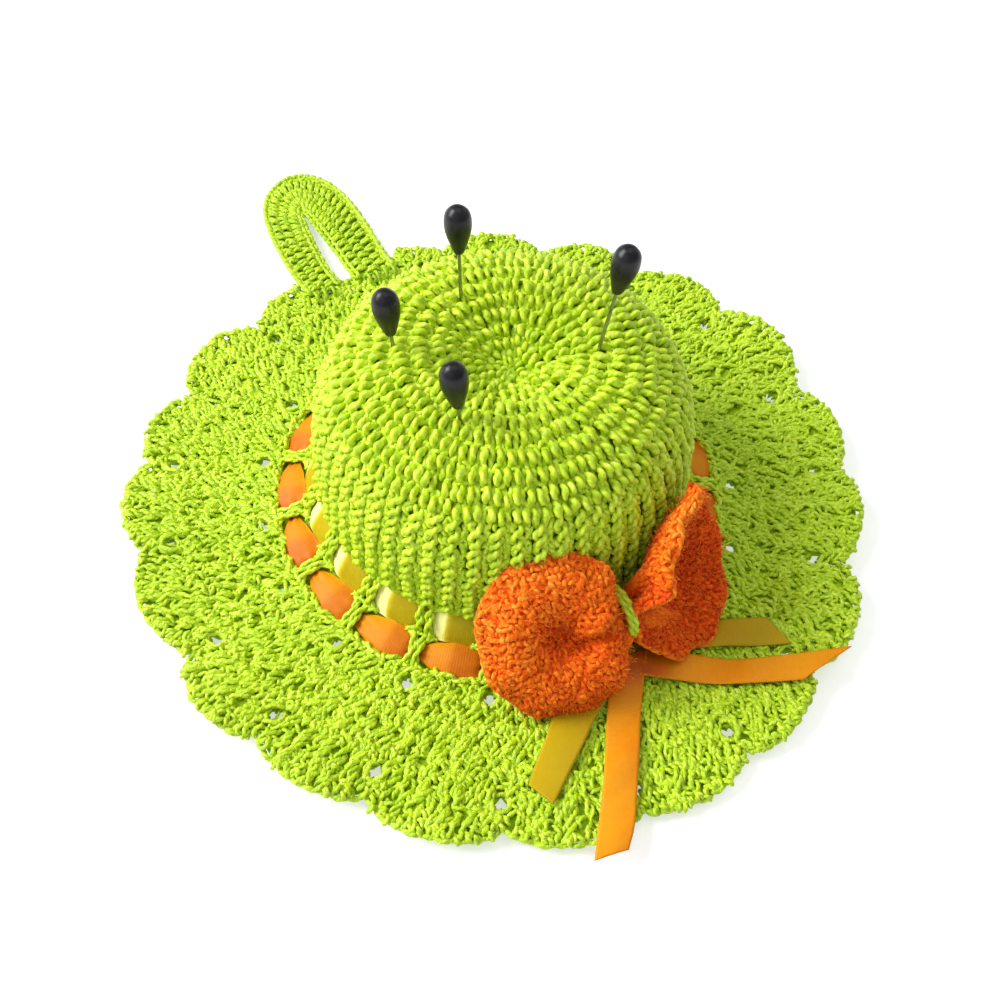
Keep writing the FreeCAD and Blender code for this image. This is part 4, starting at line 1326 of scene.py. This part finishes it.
def tail(name, edges, material, lift, lift_end=0.0, extra_nodes=()):
    """A satin tail from under the bow to its slanted end. The two edges are
    given in plan as (x, y)."""
    piece = Piece()
    (edge_a, arc_a), (edge_b, arc_b) = (even_points(edge, 96) for edge in edges)
    part = row(0, 1, 13)
    plan = edge_a[:, None] + (edge_b - edge_a)[:, None] * part[..., None]
    arc = arc_a[:, None] + (arc_b - arc_a)[:, None] * part
    longest = max(arc_a[-1], arc_b[-1])
    across = 2 * part - 1
    middle = 0.5 * (edge_a + edge_b)
    below = np.maximum(brim_z(middle[:, 0], middle[:, 1])[:, None],
                       brim_z(plan[..., 0], plan[..., 1]))
    ripple = (0.22 * np.sin(arc * 0.42 + across * 0.8) + 0.10) * ease(arc, 6, 14)
    z = np.maximum(below, 2.7) + 1.02 + lift * (1 - ease(arc, 0, 10)) \
        + lift_end * ease(arc, longest * 0.35, longest) \
        + 0.20 * (1 - across ** 2) + np.maximum(ripple, -0.05)
    top = np.concatenate([plan, z[..., None]], -1)
    normal = unit(np.cross(np.gradient(top, axis=0), np.gradient(top, axis=1)))
    if normal[..., 2].mean() < 0:
        normal = -normal
    under = top - normal * 0.22
    selvage = (np.abs(across) > 0.86).astype(float)
    # painted shade: darker towards one edge, and a painted shadow of the bow over the first few
    # millimetres from the root
    tone = 0.62 + 0.14 * np.sin(arc * 0.3) - 0.12 * across - 0.95 * (1 - ease(arc, 2.0, 9.5))
    grid(piece, top, selvage, tone, arc)
    grid(piece, under, selvage, tone, arc, flip=True)
    for j in (0, -1):
        grid(piece, np.stack([top[:, j], under[:, j]], 1), 1.0, flip=(j != 0))
    for j in (0, -1):
        grid(piece, np.stack([top[j], under[j]], 0), 0.3, 0.3, flip=(j == 0))
    colour, _, place = name.split("_")
    body = "%s_%s" % (colour, place)
    obj = piece.build(name + "_satin", material)
    tidy(obj, weld=1e-6)
    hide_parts(name, *extra_nodes)
    joint = next(entry for entry in frame["joints"] if entry["name"] == body + "_lift")
    hinge = np.array(joint["pos_m"])
    axis = np.array(joint["axis"])
    forward = np.array([-axis[1], axis[0], 0.0])
    if forward @ (np.append(middle[-1], 0) * MM - hinge) < 0:
        forward = -forward
    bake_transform(obj)


def tails():
    tail("yellow_tail_left", [
        [(-2.6, -39.6), (-9.5, -40.3), (-14.2, -41.0), (-18.4, -42.4), (-21.9, -45.0),
         (-25.9, -47.8), (-28.7, -50.0)],
        [(-1.6, -42.6), (-7.3, -44.3), (-12.6, -46.2), (-17.5, -49.2), (-22.0, -51.7),
         (-27.4, -54.8)]], SATIN_OLD_GOLD, lift=0.2)
    tail("yellow_tail_right", [
        [(0.6, -39.4), (6.7, -40.5), (13.4, -42.4), (17.5, -44.5), (22.1, -47.4)],
        [(-1.4, -41.2), (2.7, -42.1), (7.3, -44.5), (12.2, -47.4), (16.9, -50.4),
         (22.3, -53.5)]], SATIN_OLD_GOLD, lift=0.2)
    tail("orange_tail_front", [
        [(-4.6, -40.4), (-8.9, -44.3), (-14.7, -51.1), (-19.5, -56.7), (-27.6, -65.4)],
        [(0.9, -41.8), (-2.0, -44.8), (-7.5, -50.9), (-12.0, -56.3), (-18.6, -63.8),
         (-22.2, -66.9)]], SATIN_ORANGE, lift=1.3,
        extra_nodes=("orange_ribbon_knot",))
    tail("orange_tail_right", [
        [(-0.4, -40.6), (1.6, -42.0), (6.6, -45.4), (10.7, -49.1), (15.2, -52.4),
         (20.1, -55.1), (25.2, -57.8), (29.2, -60.0)],
        [(-3.4, -43.4), (-2.2, -45.0), (3.4, -49.4), (7.6, -52.9), (12.1, -56.0),
         (18.6, -60.1)]], SATIN_ORANGE, lift=1.0, lift_end=0.9,
        extra_nodes=("yellow_ribbon_knot",))


# ------------------------------------------------------- linings and filling
def crown_backing():
    """Inner face of the crochet: closes the gaps between stitches, in the darker shadow copy of
    the green yarn that paints the shade in them.
    """
    piece = Piece()
    arc, angle = np.meshgrid(np.linspace(0.4, ARC_WALL_END + 0.6, 90),
                             np.linspace(0, TAU, 4 * RIBS, endpoint=False), indexing="ij")
    outer, _ = crown(arc, angle, lift=-1.10 + 0.10 * np.sin(arc * 2.02))
    inner, _ = crown(arc, angle, lift=-1.7)
    closed_skin(piece, outer, inner, shade=0.6)
    tidy(finish(piece, "crown_inner_layer", GREEN_SHADOW), weld=1e-6)


def base_disc():
    piece = Piece()
    run = row(0, 1, 8)
    taper = tapered(run, 0.5, 0.06, 0.7)
    for i in range(11):
        count = 6 * (i + 1)
        start = 0.4 + 3.12 * i
        middle = (column(count) + jitter(0.05, count)) * TAU / count + RNG.random() * 6
        for hand in (-1, 1):
            radius = start + 3.35 * run + jitter(0.08, count)
            angle = middle + hand * (0.5 + 0.4 * run) / np.maximum(radius, 1.2) \
                * min(1, 0.6 + 0.1 * i)
            z = 1.25 - 0.72 * tapered(run, 0, 0, 0.8)
            sweep(piece, polar(radius, angle, z), -Z_UP, 0.80 * taper, 0.50 * taper,
                  twist=1.1, groove=0.18, plies=3)
    radius, angle = np.meshgrid([0.2, 12, 24, 35.2], np.linspace(0, TAU, 120, endpoint=False),
                                indexing="ij")
    closed_skin(piece, polar(radius, angle, 0.85), polar(radius, angle, 1.28), 0.1, 0.2)
    finish(piece, "base_circle_crochet", GREEN, nodes=("base_cover",))


def coordinates_of(mesh):
    values = np.zeros(len(mesh.vertices) * 3, np.float32)
    mesh.vertices.foreach_get("co", values)
    return values.reshape(-1, 3)


def inflate(obj):
    """Remeshes the body and swells it a little by a short cloth simulation."""
    last_frame = 20
    most_swell = 0.0007
    lowest = 0.00225
    bpy.context.view_layer.objects.active = obj
    obj.select_set(True)
    remesh = obj.modifiers.new("remesh", "REMESH")
    remesh.mode = "VOXEL"
    remesh.voxel_size = 0.0022
    bpy.ops.object.modifier_apply(modifier="remesh")
    rest = coordinates_of(obj.data)
    cloth = obj.modifiers.new("cloth", "CLOTH")
    settings = cloth.settings
    settings.quality = 6
    settings.mass = 0.15
    settings.use_pressure = True
    settings.uniform_pressure_force = 4.0
    settings.effector_weights.gravity = 0.0
    settings.tension_stiffness = 12
    settings.compression_stiffness = 12
    cloth.point_cache.frame_start = 1
    cloth.point_cache.frame_end = last_frame
    scene = bpy.context.scene
    scene.frame_start, scene.frame_end = 1, last_frame
    for i in range(1, last_frame + 1):
        scene.frame_set(i)
    evaluated = obj.evaluated_get(bpy.context.evaluated_depsgraph_get())
    move = coordinates_of(evaluated.data) - rest
    distance = np.linalg.norm(move, axis=1, keepdims=True)
    swollen = rest + move * np.minimum(1.0, most_swell / np.maximum(distance, 1e-9))
    swollen[:, 2] = np.maximum(swollen[:, 2], lowest)
    obj.modifiers.remove(cloth)
    obj.data.vertices.foreach_set("co", swollen.astype(np.float32).ravel())
    obj.data.update()
    scene.frame_set(1)
    subdivision = obj.modifiers.new("subdivision", "SUBSURF")
    subdivision.levels = subdivision.render_levels = 1
    bpy.ops.object.modifier_apply(modifier="subdivision")
    obj.data.polygons.foreach_set("use_smooth", np.ones(len(obj.data.polygons), bool))
    obj.select_set(False)


def stuffed_body():
    """The filling, as a padded cloth body that swells against the crochet."""
    piece = Piece()
    around = np.linspace(0, TAU, 120, endpoint=False)
    arc, angle = np.meshgrid(np.linspace(0.05, ARC_CHAIN - 0.2, 60), around, indexing="ij")
    depth = 2.6 + 1.4 * ease(arc, ARC_WALL_END - 3, ARC_WALL_END + 3)
    side, _ = crown(arc, angle, lift=-depth)
    rim = np.hypot(side[-1, :, 0], side[-1, :, 1])
    bottom = [polar(rim * part, around, z)
              for part, z in ((1.0, 2.9), (0.97, 2.3), (0.6, 2.3), (0.2, 2.3), (0.01, 2.3))]
    grid(piece, np.concatenate([side, np.stack(bottom, 0)], 0), wrap_v=True)
    obj = piece.build("stuffed_body", FIBRE)
    tidy(obj, weld=2e-5, fill=True)
    inflate(obj)
    attach(obj, ("stuffing",))


# --------------------------------------------------------------------- pins
# pin bead: (radius, height above its foot)
BEAD_PROFILE = [(0.34, 0.0), (0.66, 0.05), (0.98, 0.60), (1.45, 2.2), (2.00, 4.3),
                (2.20, 6.2), (1.96, 7.95), (1.15, 9.0), (0.45, 9.36), (0.02, 9.42)]
BEAD_BELT = 6.2                     # height of the widest ring


def pin_head(i):
    """A pear-shaped bead on the axis of pin i."""
    node = "pin_%d_head" % i
    source = np.array([vertex.co for vertex in frame["nodes"][node].data.vertices], float) / MM
    joint = next(entry for entry in frame["joints"] if entry["name"] == "pin_%d_slide" % i)
    axis = unit(np.array(joint["axis"], float))
    height = source @ axis
    # the axis goes through the middle of the widest ring
    belt = source[np.abs(height - (height.min() + BEAD_BELT)) < 1.6]
    centre = 0.5 * (belt.max(0) + belt.min(0)) if len(belt) else source.mean(0)
    foot = centre + axis * (height.min() - centre @ axis)
    profile = catmull(BEAD_PROFILE, 60)[:, None]
    helper = np.array([1.0, 0, 0]) if abs(axis[0]) < 0.9 else np.array([0, 1.0, 0])
    across = unit(np.cross(axis, helper))
    third = np.cross(axis, across)
    angle = np.linspace(0, TAU, 48, endpoint=False)
    waver = 1 + 0.012 * np.sin(3 * angle + i)
    ring = (np.cos(angle) * waver)[:, None] * across + (np.sin(angle) * waver)[:, None] * third
    piece = Piece()
    grid(piece, foot + profile[..., 1:] * axis + profile[..., :1] * ring, wrap_v=True, flip=True)
    obj = piece.build("pin_%d_bead" % i, BEAD)
    tidy(obj, fill=True)
    attach(obj, (node,), body="pin_%d" % i)


def dress_plain_nodes():
    """Materials for the CAD pieces that are kept as they are."""
    names = [("base_stiffener", CARD), ("tuft_thread", GREEN), ("base_seam_stitches", GREEN),
             ("loop_stitches", GREEN), ("bow_stitches", GREEN)]
    names += [("pin_%d_shaft" % i, STEEL) for i in range(1, 5)]
    for name, material in names:
        materials = frame["nodes"][name].data.materials
        materials.clear()
        materials.append(material)


# --------------------------------------------------------------------- stage
def floor():
    mesh = bpy.data.meshes.new("floor")
    plane = bmesh.new()
    bmesh.ops.create_grid(plane, x_segments=2, y_segments=2, size=3.0)
    plane.to_mesh(mesh)
    plane.free()
    obj = bpy.data.objects.new("floor", mesh)
    obj.location = (0, 0, -0.0002)
    bpy.context.scene.collection.objects.link(obj)
    material, nodes, shader = new_material("pale_table")
    set_inputs(shader, {"Base Color": (0.62, 0.62, 0.62, 1), "Roughness": 0.9,
                        "Specular IOR Level": 0.1, "Emission Color": (1.0, 1.0, 1.0, 1)})
    # a glow that grows with distance evens out the fall-off of the lamps
    near_glow, extra_glow = 0.50, 0.26
    glow_start, glow_per_metre = 0.16, 0.55
    length = nodes.tree.nodes.new("ShaderNodeVectorMath")
    length.operation = "LENGTH"
    nodes.link(nodes.coordinates(), length.inputs[0])
    far = nodes.math("SUBTRACT", length.outputs["Value"], glow_start, clamp=True)
    far = nodes.math("MULTIPLY", far, glow_per_metre, clamp=True)
    far = nodes.math("MINIMUM", far, extra_glow)
    nodes.link(nodes.math("ADD", far, near_glow), shader.inputs["Emission Strength"])
    mesh.materials.append(material)


def studio_world():
    """The backdrop is plain white to the camera, and softer as a light."""
    light_strength, camera_extra = 0.45, 0.55
    world = bpy.data.worlds.new("studio")
    bpy.context.scene.world = world
    world.use_nodes = True
    nodes = Nodes(world.node_tree)
    background = world.node_tree.nodes["Background"]
    background.inputs[0].default_value = (1.0, 1.0, 1.0, 1)
    path = world.node_tree.nodes.new("ShaderNodeLightPath")
    strength = nodes.scaled(path.outputs["Is Camera Ray"], factor=camera_extra,
                            offset=light_strength)
    nodes.link(strength, background.inputs[1])


def area_light(name, right, away, up, distance, size, power):
    """A disc lamp aimed at a point above the middle of the hat. Its direction
    is given to the right of the view, away from the camera and up."""
    target = Vector((0, 0, 0.015))
    flat_right = np.array([VIEW_RIGHT[0], VIEW_RIGHT[1], 0.0])
    flat_away = np.array([-VIEW_RIGHT[1], VIEW_RIGHT[0], 0.0])
    direction = unit(right * flat_right + away * flat_away + up * Z_UP)
    light = bpy.data.lights.new(name, "AREA")
    light.shape = "DISK"
    light.size = size
    light.energy = power
    obj = bpy.data.objects.new(name, light)
    obj.location = Vector((direction * distance).tolist()) + target
    obj.rotation_mode = "QUATERNION"
    obj.rotation_quaternion = Vector(direction.tolist()).to_track_quat("Z", "Y")
    bpy.context.scene.collection.objects.link(obj)


def camera():
    place = np.array([-90.50, -115.83, 199.73])
    forward = np.array([0.36549, 0.46464, -0.80655])
    right = unit(VIEW_RIGHT - (VIEW_RIGHT @ forward) * forward)
    data = bpy.data.cameras.new("camera")
    data.sensor_width = 36.0
    data.lens = 49.43
    data.clip_start = 0.01
    data.clip_end = 20.0
    obj = bpy.data.objects.new("camera", data)
    columns = np.stack([right, np.cross(right, forward), -forward, place * MM], -1)
    obj.matrix_world = Matrix(np.vstack([columns, [0, 0, 0, 1]]).tolist())
    bpy.context.scene.collection.objects.link(obj)
    bpy.context.scene.camera = obj


# --------------------------------------------------------------------- build
crown_top()
wall()
upper_eyelets()
lower_eyelets()
eyelet_lining()
woven_ribbon("yellow_ribbon_woven", ARC_WALL_END + 0.5 * (ARC_CHAIN - ARC_WALL_END) + 0.1,
             width=5.7, bulge=0.95, dip=-0.95, tent=0.7, yellow=True,
             material=SATIN_YELLOW, node="yellow_ribbon_band")
woven_ribbon("orange_ribbon_woven", ARC_CHAIN + 0.5 * (ARC_END - ARC_CHAIN),
             width=5.5, bulge=0.90, dip=-0.95, tent=0.5, yellow=False,
             material=SATIN_ORANGE, node="orange_ribbon_band")
brim()
brim_backing()
hanging_loop()
bow_lobe(-1, "bow_left_lobe_crochet", "bow_lobe_left")
bow_lobe(1, "bow_right_lobe_crochet", "bow_lobe_right")
bow_wrap()
tails()
crown_backing()
base_disc()
stuffed_body()
for pin in range(1, 5):
    pin_head(pin)
dress_plain_nodes()

floor()
studio_world()
area_light("key", right=-1.0, away=0.12, up=0.80, distance=0.9, size=0.62, power=12.4)
area_light("fill", right=-0.5, away=-0.9, up=0.8, distance=1.1, size=0.8, power=1.0)
area_light("top", right=0.15, away=0.05, up=1.0, distance=1.1, size=1.0, power=3.0)
area_light("rim", right=0.9, away=0.5, up=0.7, distance=1.1, size=0.6, power=0.8)
camera()
view = bpy.context.scene.view_settings
view.view_transform = "Standard"
view.look = "None"
view.exposure = 0.0

bpy.context.view_layer.update()
